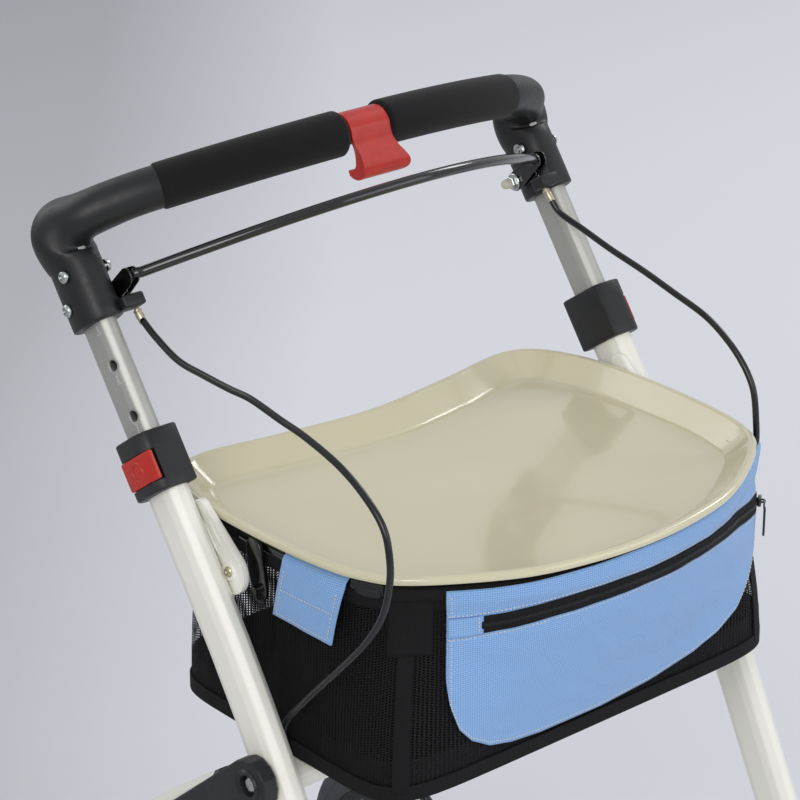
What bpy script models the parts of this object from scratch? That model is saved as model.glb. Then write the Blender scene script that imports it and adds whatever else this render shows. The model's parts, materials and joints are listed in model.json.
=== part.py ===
"""Indoor rollator: a folding walking frame with a full-width grip, tray and basket.

Run with blender --background --python part.py, or from Blender's text editor.
Metres, +Z up. The user stands at +Y and walks towards -Y. X = 0 is the middle of the frame,
and the wheels stand on Z = 0.
"""

import math

import bmesh
import bpy
from mathutils import Vector

# Driving dimensions, in metres and degrees

HANDLE_HEIGHT = 0.940           # grip axis above the floor, at the middle of the grip
HANDLE_Y = 0.006                # grip axis at the middle of the grip
HANDLE_BOW_Y = 0.0488           # how far the grip has come back at 0.2 from the middle
HANDLE_DROP = 0.02695           # how far it has dropped there
HANDLE_BOW_SPAN = 0.200

TUBE_PLANE = 0.2174             # half the distance between the two side frames
UPPER_TILT = math.radians(35.7)     # upper tubes, from the vertical
LOWER_TILT = math.radians(26.5)     # lower end of the front legs, from the vertical
COLLAR_Y = -0.0229              # middle of the height collar on the tube axis
COLLAR_Z = 0.7461

INNER_DEPTH = 0.0315            # height tube, flat-oval: front to back, then side to side
INNER_WIDTH = 0.0165
OUTER_DEPTH = 0.0370            # leg tube, flat-oval
OUTER_WIDTH = 0.0210
TUBE_WALL = 0.0015
HOLE_PITCH = 0.0383             # height holes

GRIP_RADIUS = 0.017
CORE_RADIUS = 0.011
GRIP_INNER_ENDS = {"left": 0.0255, "right": 0.0125}     # foam grips, from the middle
GRIP_OUTER_END = 0.1640
LATCH_COLLAR_RADIUS = 0.0143

PIVOT_Y, PIVOT_Z = 0.0520, 0.8427   # brake bar's pivot bolts
ROD_RADIUS = 0.004
HINGE_Y, HINGE_Z = -0.1500, 0.5520  # rear legs' fold pivots
REAR_AXLE_Y = 0.2720
SWIVEL_Y = -0.3120              # front casters' swivel axis
CASTER_TRAIL = 0.0420
WHEEL_RADIUS = 0.1000
WHEEL_WIDTH = 0.0240
RIM_RADIUS = 0.0720
REAR_WHEEL_X = 0.2490           # middle of a rear wheel

TRAY_RIM_Z = 0.7200
CABLE_RADIUS = 0.0025
GAP = 0.0003                    # left between pieces that touch

# Tray outline, right half, from the middle of the back to the middle of the front
TRAY_OUTLINE = (
    (0.000, 0.001), (0.081, 0.010), (0.147, 0.020), (0.179, 0.004), (0.196, -0.040), (0.200, -0.100),
    (0.197, -0.167), (0.187, -0.210), (0.165, -0.239), (0.105, -0.276), (0.052, -0.291), (0.000, -0.2955),
)

# Brake cables' free stretches, in the planes beside the legs: y, z
CABLE_LOOPS = {
    "left": (
        (-0.003, 0.830), (-0.032, 0.822), (-0.061, 0.820), (-0.089, 0.819), (-0.112, 0.819),
        (-0.144, 0.814), (-0.171, 0.810), (-0.205, 0.801), (-0.231, 0.788), (-0.249, 0.772),
        (-0.255, 0.753), (-0.255, 0.734), (-0.248, 0.708), (-0.230, 0.680), (-0.203, 0.650),
        (-0.167, 0.612), (-0.146, 0.585), (-0.150, 0.566),
    ),
    "right": (
        (0.007, 0.827), (-0.017, 0.819), (-0.048, 0.811), (-0.081, 0.804), (-0.116, 0.795),
        (-0.149, 0.786), (-0.173, 0.773), (-0.190, 0.758), (-0.200, 0.742), (-0.204, 0.720),
        (-0.205, 0.700), (-0.200, 0.676), (-0.184, 0.646), (-0.160, 0.610), (-0.146, 0.585),
        (-0.150, 0.566),
    ),
}

COLOURS = {
    "cream_paint": ((0.74, 0.73, 0.68), 0.35, 0.0),
    "silver_paint": ((0.62, 0.62, 0.60), 0.38, 0.3),
    "black_plastic": ((0.030, 0.031, 0.034), 0.45, 0.0),
    "black_paint": ((0.012, 0.012, 0.013), 0.25, 0.0),
    "foam": ((0.022, 0.022, 0.023), 0.95, 0.0),
    "red_plastic": ((0.55, 0.06, 0.045), 0.35, 0.0),
    "white_plastic": ((0.80, 0.80, 0.78), 0.35, 0.0),
    "tray_plastic": ((0.76, 0.69, 0.53), 0.18, 0.0),
    "zinc_steel": ((0.62, 0.62, 0.60), 0.30, 1.0),
    "cable_sheath": ((0.012, 0.012, 0.013), 0.40, 0.0),
    "black_mesh": ((0.018, 0.018, 0.020), 0.85, 0.0),
    "blue_cloth": ((0.24, 0.45, 0.80), 0.80, 0.0),
    "tyre_rubber": ((0.060, 0.061, 0.064), 0.75, 0.0),
}

SIDES = (("left", -1), ("right", 1))


# Scene set-up

def clear_scene():
    for old in list(bpy.data.objects):
        bpy.data.objects.remove(old)


def make_collection(name):
    collection = bpy.data.collections.new(name)
    bpy.context.scene.collection.children.link(collection)
    return collection


def make_material(name):
    colour, roughness, metallic = COLOURS[name]
    material = bpy.data.materials.new(name)
    material.use_nodes = True
    shader = material.node_tree.nodes["Principled BSDF"]
    shader.inputs["Base Color"].default_value = (*colour, 1.0)
    shader.inputs["Roughness"].default_value = roughness
    shader.inputs["Metallic"].default_value = metallic
    return material


clear_scene()
PARTS = make_collection("indoor_rollator")
CUTTERS = make_collection("cutters")
MATERIALS = {name: make_material(name) for name in COLOURS}


# Helpers: objects

def link(name, data, material=None, location=(0, 0, 0), rotation=(0, 0, 0)):
    """A named object in the parts collection, or a hidden cutter when it has no material."""
    item = bpy.data.objects.new(name, data)
    item.location = location
    item.rotation_euler = rotation
    if material is None:
        CUTTERS.objects.link(item)
        item.hide_render = True
        item.display_type = "WIRE"
    else:
        PARTS.objects.link(item)
        item.data.materials.clear()
        item.data.materials.append(MATERIALS[material])
    return item


def pivot(name, location):
    """An empty on a joint's axis, which carries the pieces that turn about it."""
    empty = bpy.data.objects.new(name, None)
    empty.location = location
    empty.empty_display_size = 0.02
    PARTS.objects.link(empty)
    return empty


def hang_on(empty, *items):
    """Parent pieces to an empty, leaving them where they stand."""
    bpy.context.view_layer.update()
    for item in items:
        item.parent = empty
        item.matrix_parent_inverse = empty.matrix_world.inverted()


def smooth(item, angle=35):
    item.data.shade_smooth()
    item.data.set_sharp_from_angle(angle=math.radians(angle))
    return item


def boolean(item, operation, *tools):
    for tool in tools:
        modifier = item.modifiers.new(operation.lower(), "BOOLEAN")
        modifier.operation = operation
        modifier.solver = "EXACT"
        modifier.object = tool
    return item


def cut(item, *tools):
    return boolean(item, "DIFFERENCE", *tools)


def join(item, *tools):
    return boolean(item, "UNION", *tools)


def bevel(item, width, segments=2, angle=40):
    modifier = item.modifiers.new("bevel", "BEVEL")
    modifier.width = width
    modifier.segments = segments
    modifier.limit_method = "ANGLE"
    modifier.angle_limit = math.radians(angle)
    return item


def mesh_from(build):
    """A mesh from a bmesh, with its faces pointing out."""
    bmesh.ops.recalc_face_normals(build, faces=build.faces)
    mesh = bpy.data.meshes.new("mesh")
    build.to_mesh(mesh)
    build.free()
    return mesh


# Helpers: forms

def box(name, size, centre, material=None, rotation=(0, 0, 0)):
    build = bmesh.new()
    bmesh.ops.create_cube(build, size=1.0)
    bmesh.ops.scale(build, vec=Vector(size), verts=build.verts)
    return link(name, mesh_from(build), material, centre, rotation)


def rod_x(name, radius, x_from, x_to, y, z, material=None, segments=16):
    """A cylinder along X between two places."""
    build = bmesh.new()
    bmesh.ops.create_cone(build, cap_ends=True, segments=segments, radius1=radius, radius2=radius,
                          depth=abs(x_to - x_from))
    return link(name, mesh_from(build), material, ((x_from + x_to) / 2, y, z), (0, math.pi / 2, 0))


def turned(name, profile, material=None, location=(0, 0, 0), rotation=(0, 0, 0), steps=16, closed=False):
    """A profile of (radius, height) points turned about its own Z; its outer side runs down."""
    mesh = bpy.data.meshes.new(name)
    count = len(profile)
    edges = [(i, i + 1) for i in range(count - 1)]
    if closed:
        edges.append((count - 1, 0))
    mesh.from_pydata([(radius, 0, height) for radius, height in profile], edges, [])
    item = link(name, mesh, material, location, rotation)
    screw = item.modifiers.new("turn", "SCREW")
    screw.steps = steps
    screw.render_steps = steps
    screw.use_merge_vertices = True
    screw.merge_threshold = 0.00001
    screw.use_smooth_shade = True
    return item


def outline_plate(name, outlines, thickness, material=None, location=(0, 0, 0), rotation=(0, 0, 0)):
    """Flat closed outlines, the first one outside and the rest windows, filled and extruded."""
    curve = bpy.data.curves.new(name, "CURVE")
    curve.dimensions = "2D"
    curve.fill_mode = "BOTH"
    curve.extrude = thickness / 2
    for outline in outlines:
        spline = curve.splines.new("POLY")
        spline.points.add(len(outline) - 1)
        for point, (u, v) in zip(spline.points, outline):
            point.co = (u, v, 0, 1)
        spline.use_cyclic_u = True
    return curve_to_mesh(name, curve, material, location, rotation)


def curve_to_mesh(name, curve, material, location=(0, 0, 0), rotation=(0, 0, 0)):
    """The curve as a closed mesh, with its caps welded on."""
    source = bpy.data.objects.new(name, curve)
    source.location = location
    source.rotation_euler = rotation
    CUTTERS.objects.link(source)
    bpy.context.view_layer.update()
    graph = bpy.context.evaluated_depsgraph_get()
    mesh = bpy.data.meshes.new_from_object(source.evaluated_get(graph))
    build = bmesh.new()
    build.from_mesh(mesh)
    bmesh.ops.remove_doubles(build, verts=build.verts, dist=0.00001)
    placed = source.matrix_world.copy()
    bpy.data.objects.remove(source)
    item = link(name, mesh_from(build), material)
    item.matrix_world = placed
    return item


def wire(name, points, radius, material=None, resolution=2, radii=None):
    """A round wire or tube through world points; radii are factors on the radius, one a point."""
    curve = bpy.data.curves.new(name, "CURVE")
    curve.dimensions = "3D"
    curve.bevel_depth = radius
    curve.bevel_resolution = resolution
    curve.use_fill_caps = True
    spline = curve.splines.new("POLY")
    spline.points.add(len(points) - 1)
    for index, (point, place) in enumerate(zip(spline.points, points)):
        point.co = (*place, 1)
        if radii:
            point.radius = radii[index]
    return curve_to_mesh(name, curve, material)


# The side plane's own axes, local X, Y, Z, lie along the object's Y, Z, X
SIDE_PLANE = (math.pi / 2, 0, math.pi / 2)


def oval(depth, width, arc_steps=5):
    """A flat-oval section: round ends as wide as the tube, flat sides between them."""
    radius = width / 2
    straight = depth / 2 - radius
    points = []
    for sign, start in ((1, -90), (-1, 90)):
        for step in range(arc_steps + 1):
            angle = math.radians(start + 180 * step / arc_steps)
            points.append((sign * straight + radius * math.cos(angle), radius * math.sin(angle)))
    return points


def swept_oval(name, path, depth, width, plane_x, material=None, arc_steps=5):
    """A flat-oval tube along a path of (y, z) points in a side plane."""
    section = bpy.data.curves.new("section", "CURVE")
    section.dimensions = "2D"
    outline = oval(depth, width, arc_steps)
    spline = section.splines.new("POLY")
    spline.points.add(len(outline) - 1)
    for point, (u, v) in zip(spline.points, outline):
        point.co = (u, v, 0, 1)
    spline.use_cyclic_u = True
    profile = bpy.data.objects.new("section", section)
    CUTTERS.objects.link(profile)
    curve = bpy.data.curves.new(name, "CURVE")
    curve.dimensions = "2D"
    curve.bevel_mode = "OBJECT"
    curve.bevel_object = profile
    curve.use_fill_caps = True
    spline = curve.splines.new("POLY")
    spline.points.add(len(path) - 1)
    for point, (y, z) in zip(spline.points, path):
        point.co = (y, z, 0, 1)
    item = curve_to_mesh(name, curve, material, (plane_x, 0, 0), SIDE_PLANE)
    bpy.data.objects.remove(profile)
    return item


def loft(name, rings, material=None):
    """A closed skin through rings of the same number of world points."""
    build = bmesh.new()
    loops = [[build.verts.new(point) for point in ring] for ring in rings]
    count = len(rings[0])
    for lower, upper in zip(loops, loops[1:]):
        for index in range(count):
            after = (index + 1) % count
            build.faces.new((lower[index], lower[after], upper[after], upper[index]))
    build.faces.new(loops[0])
    build.faces.new(loops[-1])
    return link(name, mesh_from(build), material)


def superellipse(half_u, half_v, power, count):
    """Points of a rounded section; power 2 is an ellipse, and a higher one is squarer."""
    points = []
    for index in range(count):
        angle = 2 * math.pi * index / count
        cosine = math.cos(angle)
        sine = math.sin(angle)
        u = half_u * math.copysign(abs(cosine) ** (2 / power), cosine)
        v = half_v * math.copysign(abs(sine) ** (2 / power), sine)
        points.append((u, v))
    return points


def smooth_path(points, steps):
    """Points along a Catmull-Rom spline through the given ones, ends included."""
    knots = [Vector(point) for point in points]
    knots = [2 * knots[0] - knots[1], *knots, 2 * knots[-1] - knots[-2]]
    path = []
    for before, start, end, after in zip(knots, knots[1:], knots[2:], knots[3:]):
        for step in range(steps):
            t = step / steps
            path.append(0.5 * (2 * start + (end - before) * t
                               + (2 * before - 5 * start + 4 * end - after) * t ** 2
                               + (3 * start - before - 3 * end + after) * t ** 3))
    path.append(knots[-2])
    return path


def bezier(start, start_handle, end_handle, end, steps):
    """Points along one cubic Bezier stretch, ends included."""
    places = [Vector(point) for point in (start, start_handle, end_handle, end)]
    path = []
    for step in range(steps + 1):
        t = step / steps
        weights = ((1 - t) ** 3, 3 * t * (1 - t) ** 2, 3 * t ** 2 * (1 - t), t ** 3)
        path.append(sum((weight * place for weight, place in zip(weights, places)), Vector.Fill(len(start))))
    return path


# Places on the side frames

TUBE_UP = Vector((0, math.sin(UPPER_TILT), math.cos(UPPER_TILT)))
TUBE_BACK = Vector((0, math.cos(UPPER_TILT), -math.sin(UPPER_TILT)))
TILTED = (-UPPER_TILT, 0, 0)        # local Z along the upper tube, local Y to its back


def on_tube(side, across, back, up):
    """A world point from the collar's middle: outwards, towards the tube's back, and up the tube."""
    return Vector((side * (TUBE_PLANE + across), COLLAR_Y, COLLAR_Z)) + back * TUBE_BACK + up * TUBE_UP


def tube_box(name, side, across, back, up, material=None):
    """A box square to the upper tube; each range is (low, high) from the collar's middle."""
    centre = on_tube(side, sum(across) / 2, sum(back) / 2, sum(up) / 2)
    size = (across[1] - across[0], back[1] - back[0], up[1] - up[0])
    return box(name, size, centre, material, TILTED)


def tube_oval(name, side, depth, width, up_from, up_to, material=None, arc_steps=5):
    """A straight flat-oval length of the upper tube."""
    low = on_tube(side, 0, 0, up_from)
    high = on_tube(side, 0, 0, up_to)
    return swept_oval(name, [low.yz, high.yz], depth, width, low.x, material, arc_steps)


def bow(x):
    """The grip's axis at a distance from the middle."""
    share = (x / HANDLE_BOW_SPAN) ** 2
    return Vector((x, HANDLE_Y + HANDLE_BOW_Y * share, HANDLE_HEIGHT - HANDLE_DROP * share))


def bow_points(x_from, x_to, count):
    return [bow(x_from + (x_to - x_from) * step / count) for step in range(count + 1)]


# Front legs, with the bend below the collar

LEG_TOP = 0.0110                # top end of the leg tube inside the collar, along the tube
LEG_STRAIGHT = -0.0930          # where the bend starts, along the tube
LEG_BEND_RADIUS = 1.36
LEG_END_Z = 0.2480


def leg_path():
    top = on_tube(1, 0, 0, LEG_TOP)
    start = on_tube(1, 0, 0, LEG_STRAIGHT)
    path = [top.yz, start.yz]
    y, z = start.yz
    steps = 5
    for step in range(steps):
        high = UPPER_TILT + (LOWER_TILT - UPPER_TILT) * step / steps
        low = UPPER_TILT + (LOWER_TILT - UPPER_TILT) * (step + 1) / steps
        y -= LEG_BEND_RADIUS * (math.cos(low) - math.cos(high))
        z -= LEG_BEND_RADIUS * (math.sin(high) - math.sin(low))
        path.append(Vector((y, z)))
    drop = z - LEG_END_Z
    path.append(Vector((y - drop * math.tan(LOWER_TILT), LEG_END_Z)))
    return path


LEG_PATH = leg_path()


def leg_y(height):
    """The leg axis's Y at a height."""
    for high, low in zip(LEG_PATH, LEG_PATH[1:]):
        if low.y <= height <= high.y:
            share = (height - low.y) / (high.y - low.y)
            return low.x + share * (high.x - low.x)
    return LEG_PATH[-1].x


PIN_RADIUS = 0.0035             # height pin
BUTTON_UP = -0.0030
BUTTON_BACK = -0.0076
HINGE_BOLT_RADIUS = 0.005


def front_leg(name, side):
    leg = swept_oval(f"front_leg_{name}", LEG_PATH, OUTER_DEPTH, OUTER_WIDTH, side * TUBE_PLANE,
                     "cream_paint")
    hollow_path = [LEG_PATH[0] * 2 - LEG_PATH[1], *LEG_PATH[1:-1], LEG_PATH[-1] * 2 - LEG_PATH[-2]]
    hollow = swept_oval(f"front_leg_hollow_{name}", hollow_path, OUTER_DEPTH - 2 * TUBE_WALL,
                        OUTER_WIDTH - 2 * TUBE_WALL, side * TUBE_PLANE)
    pin_place = on_tube(side, 0, BUTTON_BACK, BUTTON_UP)
    pin_hole = rod_x(f"front_leg_pin_hole_{name}", PIN_RADIUS + GAP, side * TUBE_PLANE,
                     side * (TUBE_PLANE + 0.03), pin_place.y, pin_place.z)
    bolt_hole = rod_x(f"front_leg_bolt_hole_{name}", HINGE_BOLT_RADIUS + GAP, side * (TUBE_PLANE - 0.03),
                      side * (TUBE_PLANE + 0.03), HINGE_Y, HINGE_Z)
    cut(leg, hollow, pin_hole, bolt_hole)
    return smooth(leg)


# Height collar at the top of a front leg, with its release button

COLLAR_HALF = 0.0215
COLLAR_INSIDE = -0.0145         # collar's inner face, outwards from the tube's middle
COLLAR_OUTSIDE = 0.0190
COLLAR_HALF_DEPTH = 0.0225
BUTTON_SIZE = 0.0270
BUTTON_FRONT = -0.0245          # its front edge stands a little past the collar's front face
RECESS_SIZE = 0.0290
BUTTON_TRAVEL = 0.0036
RECESS_DEPTH = 0.0065


def height_collar(name, side):
    low, high = sorted((side * COLLAR_INSIDE, side * COLLAR_OUTSIDE))
    centre = on_tube(side, 0, 0, 0)
    size = (high - low, 2 * COLLAR_HALF_DEPTH, 2 * COLLAR_HALF)
    collar = box(f"height_collar_{name}", size, centre + Vector(((low + high) / 2, 0, 0)),
                 "black_plastic", TILTED)
    bevel(collar, 0.0055, 2)
    leg_socket = tube_oval(f"collar_leg_socket_{name}", side, OUTER_DEPTH + 2 * GAP, OUTER_WIDTH + 2 * GAP,
                           -0.03, LEG_TOP + GAP)
    tube_socket = tube_oval(f"collar_tube_socket_{name}", side, INNER_DEPTH + 2 * GAP,
                            INNER_WIDTH + 2 * GAP, LEG_TOP - 0.002, 0.03)
    recess = tube_box(f"collar_recess_{name}", side, (COLLAR_OUTSIDE - RECESS_DEPTH, COLLAR_OUTSIDE + 0.01),
                      (BUTTON_FRONT - 0.010, BUTTON_BACK + RECESS_SIZE / 2),
                      (BUTTON_UP - RECESS_SIZE / 2, BUTTON_UP + RECESS_SIZE / 2))
    bevel(recess, 0.002, 1)
    pin_place = on_tube(side, 0, BUTTON_BACK, BUTTON_UP)
    pin_hole = rod_x(f"collar_pin_hole_{name}", PIN_RADIUS + GAP, side * TUBE_PLANE,
                     side * (TUBE_PLANE + 0.03), pin_place.y, pin_place.z)
    cut(collar, leg_socket, tube_socket, recess, pin_hole)
    return smooth(collar)


def lock_button(name, side):
    """Red push button whose pin reaches through the collar and the leg to the height tube."""
    plate_low = TUBE_PLANE + COLLAR_OUTSIDE - RECESS_DEPTH + BUTTON_TRAVEL + 0.0004
    plate_high = TUBE_PLANE + COLLAR_OUTSIDE + 0.0012
    place = on_tube(side, 0, BUTTON_BACK, BUTTON_UP)
    button = tube_box(f"lock_button_{name}", side, (plate_low - TUBE_PLANE, plate_high - TUBE_PLANE),
                      (BUTTON_FRONT, BUTTON_BACK + BUTTON_SIZE / 2),
                      (BUTTON_UP - BUTTON_SIZE / 2, BUTTON_UP + BUTTON_SIZE / 2), "red_plastic")
    bevel(button, 0.0016, 1)
    dome = turned(f"button_dome_{name}",
                  ((0, 0.0030), (0.0040, 0.0027), (0.0070, 0.0018), (0.0092, 0.0), (0.0092, -0.002),
                   (0, -0.002)),
                  None, (side * plate_high, place.y, place.z), (0, side * math.pi / 2, 0), 16)
    pin = rod_x(f"button_pin_{name}", PIN_RADIUS, side * (TUBE_PLANE + INNER_WIDTH / 2 + 0.0004),
                side * (plate_low + 0.001), place.y, place.z)
    join(button, dome, pin)
    return smooth(button)


# Height tubes, elbows and grip

ELBOW_BOTTOM = 0.1060           # along the tube, from the collar's middle
SOCKET_TOP = 0.1650
INNER_BOTTOM = -0.0580
UPPER_BOLT_UP, UPPER_BOLT_BACK = 0.1437, -0.0074
BOLT_RADIUS = 0.0030
HEIGHT_HOLE_RADIUS = 0.0042


def inner_tube(name, side):
    tube = tube_oval(f"height_tube_{name}", side, INNER_DEPTH, INNER_WIDTH, INNER_BOTTOM,
                     SOCKET_TOP - GAP, "silver_paint")
    hollow = tube_oval(f"height_tube_hollow_{name}", side, INNER_DEPTH - 2 * TUBE_WALL,
                       INNER_WIDTH - 2 * TUBE_WALL, INNER_BOTTOM - 0.01, SOCKET_TOP + 0.01)
    tools = [hollow]
    for index in range(-1, 3):
        place = on_tube(side, 0, BUTTON_BACK, BUTTON_UP + index * HOLE_PITCH)
        tools.append(rod_x(f"height_hole_{name}_{index + 2}", HEIGHT_HOLE_RADIUS, side * TUBE_PLANE,
                           side * (TUBE_PLANE + 0.03), place.y, place.z, None, 12))
    upper = on_tube(side, 0, UPPER_BOLT_BACK, UPPER_BOLT_UP)
    for tag, y, z in (("upper", upper.y, upper.z), ("pivot", PIVOT_Y, PIVOT_Z)):
        tools.append(rod_x(f"tube_bolt_hole_{tag}_{name}", BOLT_RADIUS + GAP, side * (TUBE_PLANE - 0.03),
                           side * (TUBE_PLANE + 0.03), y, z, None, 12))
    cut(tube, *tools)
    return smooth(tube)


# Elbow sections along its length: share, half across, half front to back, squareness
ELBOW_SECTIONS = (
    (0.00, 0.0157, 0.0157, 2.0), (0.20, 0.0160, 0.0163, 2.0), (0.45, 0.0175, 0.0222, 2.1),
    (0.72, 0.0232, 0.0194, 2.1), (1.00, 0.0168, 0.0215, 2.3),
)
ELBOW_SWELL = (0.0046, 0.0052)  # bend's shift sideways and to the back at its fullest
ELBOW_REACH = (0.0520, 0.0090, 0.0283, 0.0070)      # handles of the centre line's curve
ELBOW_STEPS = 8
ELBOW_BEND_LOW = 0.1500         # where the bend meets the straight socket
LUG_ACROSS = (-0.0262, -0.0080)
LUG_BACK = (-0.0275, -0.0125)
LUG_UP = (0.1066, 0.1160)
WIRE_X = 0.1972
WIRE_TOP = Vector((0, 0.0365, 0.8575))     # nipple's middle
WIRE_DIRECTION = Vector((0, -1, -1)).normalized()


def elbow_rings(side, count):
    start = bow(GRIP_OUTER_END + GAP)
    tangent = (bow(GRIP_OUTER_END + 0.001) - bow(GRIP_OUTER_END)).normalized()
    low = on_tube(1, 0, 0, ELBOW_BEND_LOW)
    along_grip, outwards, up_tube, to_back = ELBOW_REACH
    path = bezier(start, start + along_grip * tangent + Vector((outwards, 0, 0)),
                  low + up_tube * TUBE_UP + to_back * TUBE_BACK, low, ELBOW_STEPS)
    path.append(on_tube(1, 0, 0, ELBOW_BOTTOM))
    rings = []
    for index, centre in enumerate(path):
        before = path[max(index - 1, 0)]
        after = path[min(index + 1, len(path) - 1)]
        along = tangent if index == 0 else (after - before).normalized()
        if index >= ELBOW_STEPS:
            along = -TUBE_UP
        back = (TUBE_BACK - TUBE_BACK.dot(along) * along).normalized()
        across = along.cross(back)
        share = min(index / ELBOW_STEPS, 1)
        for near, far in zip(ELBOW_SECTIONS, ELBOW_SECTIONS[1:]):
            if near[0] <= share <= far[0]:
                mix = (share - near[0]) / (far[0] - near[0])
                half_u, half_v, power = (a + mix * (b - a) for a, b in zip(near[1:], far[1:]))
        swell = math.exp(-((share - 0.6) / 0.22) ** 2)
        centre = centre + swell * (ELBOW_SWELL[0] * across + ELBOW_SWELL[1] * back)
        ring = [centre + u * across + v * back for u, v in superellipse(half_u, half_v, power, count)]
        rings.append([Vector((side * point.x, point.y, point.z)) for point in ring])
    return rings


def handle_elbow(name, side):
    elbow = loft(f"handle_elbow_{name}", elbow_rings(side, 16), "black_plastic")
    lug = tube_box(f"cable_lug_{name}", side, LUG_ACROSS, LUG_BACK, LUG_UP)
    bevel(lug, 0.002, 1)
    join(elbow, lug)
    core_bore = wire(f"elbow_core_bore_{name}", bow_points(side * 0.124, side * 0.1870, 2), CORE_RADIUS + GAP,
                     None, 2)
    socket = tube_oval(f"elbow_tube_socket_{name}", side, INNER_DEPTH + 2 * GAP, INNER_WIDTH + 2 * GAP,
                       ELBOW_BOTTOM - 0.01, SOCKET_TOP)
    upper = on_tube(side, 0, UPPER_BOLT_BACK, UPPER_BOLT_UP)
    holes = [rod_x(f"elbow_bolt_hole_{tag}_{name}", BOLT_RADIUS + GAP, side * (TUBE_PLANE - 0.03),
                   side * (TUBE_PLANE + 0.03), y, z, None, 12)
             for tag, y, z in (("upper", upper.y, upper.z), ("pivot", PIVOT_Y, PIVOT_Z))]
    passage = wire(f"elbow_wire_passage_{name}",
                   [Vector((side * WIRE_X, 0, 0)) + WIRE_TOP + reach * WIRE_DIRECTION
                    for reach in (0.0, 0.060)],
                   0.0016)
    cut(elbow, core_bore, socket, *holes, passage)
    return smooth(elbow, 40)


def handle_core():
    core = wire("handle_core", bow_points(-0.1860, 0.1860, 12), CORE_RADIUS, "zinc_steel", 2)
    bore = wire("handle_core_hollow", bow_points(-0.1900, 0.1900, 12), CORE_RADIUS - 0.0015, None, 2)
    cut(core, bore)
    return smooth(core)


def foam_grip(name, side):
    """Foam sleeve with softly rounded ends."""
    inner_end = GRIP_INNER_ENDS[name]
    length = GRIP_OUTER_END - inner_end
    shares = (0, 0.006, 0.025, 0.25, 0.5, 0.75, 0.985, 1)
    factors = (0.88, 0.96, 1, 1, 1, 1, 1, 0.96)
    points = [bow(side * (inner_end + share * length)) for share in shares]
    foam = wire(f"foam_grip_{name}", points, GRIP_RADIUS, "foam", 3, factors)
    bore = wire(f"foam_bore_{name}", bow_points(0, side * 0.1860, 6), CORE_RADIUS + GAP, None, 2)
    cut(foam, bore)
    return smooth(foam)


def cross_bolt(name, side, tag, y, z, head_x, end_x, head_radius):
    """Through bolt with a domed head outside."""
    length = head_x - end_x
    profile = ((0, 0.0028), (head_radius * 0.7, 0.0022), (head_radius, 0.0), (BOLT_RADIUS, 0.0),
               (BOLT_RADIUS, -length), (0, -length))
    bolt = turned(f"{tag}_{name}", profile, "zinc_steel", (side * head_x, y, z), (0, side * math.pi / 2, 0),
                  12)
    return smooth(bolt)


ELBOW_FACE = TUBE_PLANE + 0.0174    # elbow's outer face at the bolts


def elbow_bolt(name, side):
    place = on_tube(side, 0, UPPER_BOLT_BACK, UPPER_BOLT_UP)
    bolt = cross_bolt(name, side, "elbow_bolt", place.y, place.z, ELBOW_FACE + GAP, TUBE_PLANE - 0.0205,
                      0.0047)
    nut = turned(f"elbow_nut_{name}", ((0, 0.0018), (0.0047, 0.0012), (0.0047, -0.0020), (0, -0.0020)),
                 None, (side * (TUBE_PLANE - 0.0190), place.y, place.z), (0, -side * math.pi / 2, 0), 12)
    join(bolt, nut)
    return bolt


ARM_INNER = 0.1920              # brake arm, between these two distances from the middle
ARM_OUTER = 0.1998


def brake_pivot_bolt(name, side):
    """Bolt that the brake arm turns on, with its washer and cap nut on the inner side."""
    bolt = cross_bolt(name, side, "brake_pivot_bolt", PIVOT_Y, PIVOT_Z, ELBOW_FACE + GAP, ARM_INNER - 0.0020,
                      0.0047)
    profile = ((0, 0.0125), (0.0030, 0.0108), (0.0040, 0.0060), (0.0050, 0.0055), (0.0052, 0.0014),
               (0.0068, 0.0014), (0.0068, 0), (0, 0))
    nut = turned(f"pivot_cap_{name}", profile, None, (side * (ARM_INNER - GAP), PIVOT_Y, PIVOT_Z),
                 (0, -side * math.pi / 2, 0), 12)
    join(bolt, nut)
    return bolt


def latch_profile():
    """Side view of the red catch: collar round the core, web down the front, hook back under."""
    points = []
    for degrees in range(190, -51, -24):
        angle = math.radians(degrees)
        points.append((LATCH_COLLAR_RADIUS * math.cos(angle), LATCH_COLLAR_RADIUS * math.sin(angle)))
    points += [(-0.0055, -0.0140), (-0.0105, -0.0160), (-0.0112, -0.0240), (-0.0090, -0.0268),
               (-0.0040, -0.0285),
               (-0.0050, -0.0325), (-0.0110, -0.0342), (-0.0175, -0.0322), (-0.0212, -0.0265),
               (-0.0200, -0.0170),
               (-0.0162, -0.0075)]
    return points


LATCH_PLAY = 0.0014             # between the catch and the bowed core it turns on


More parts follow.
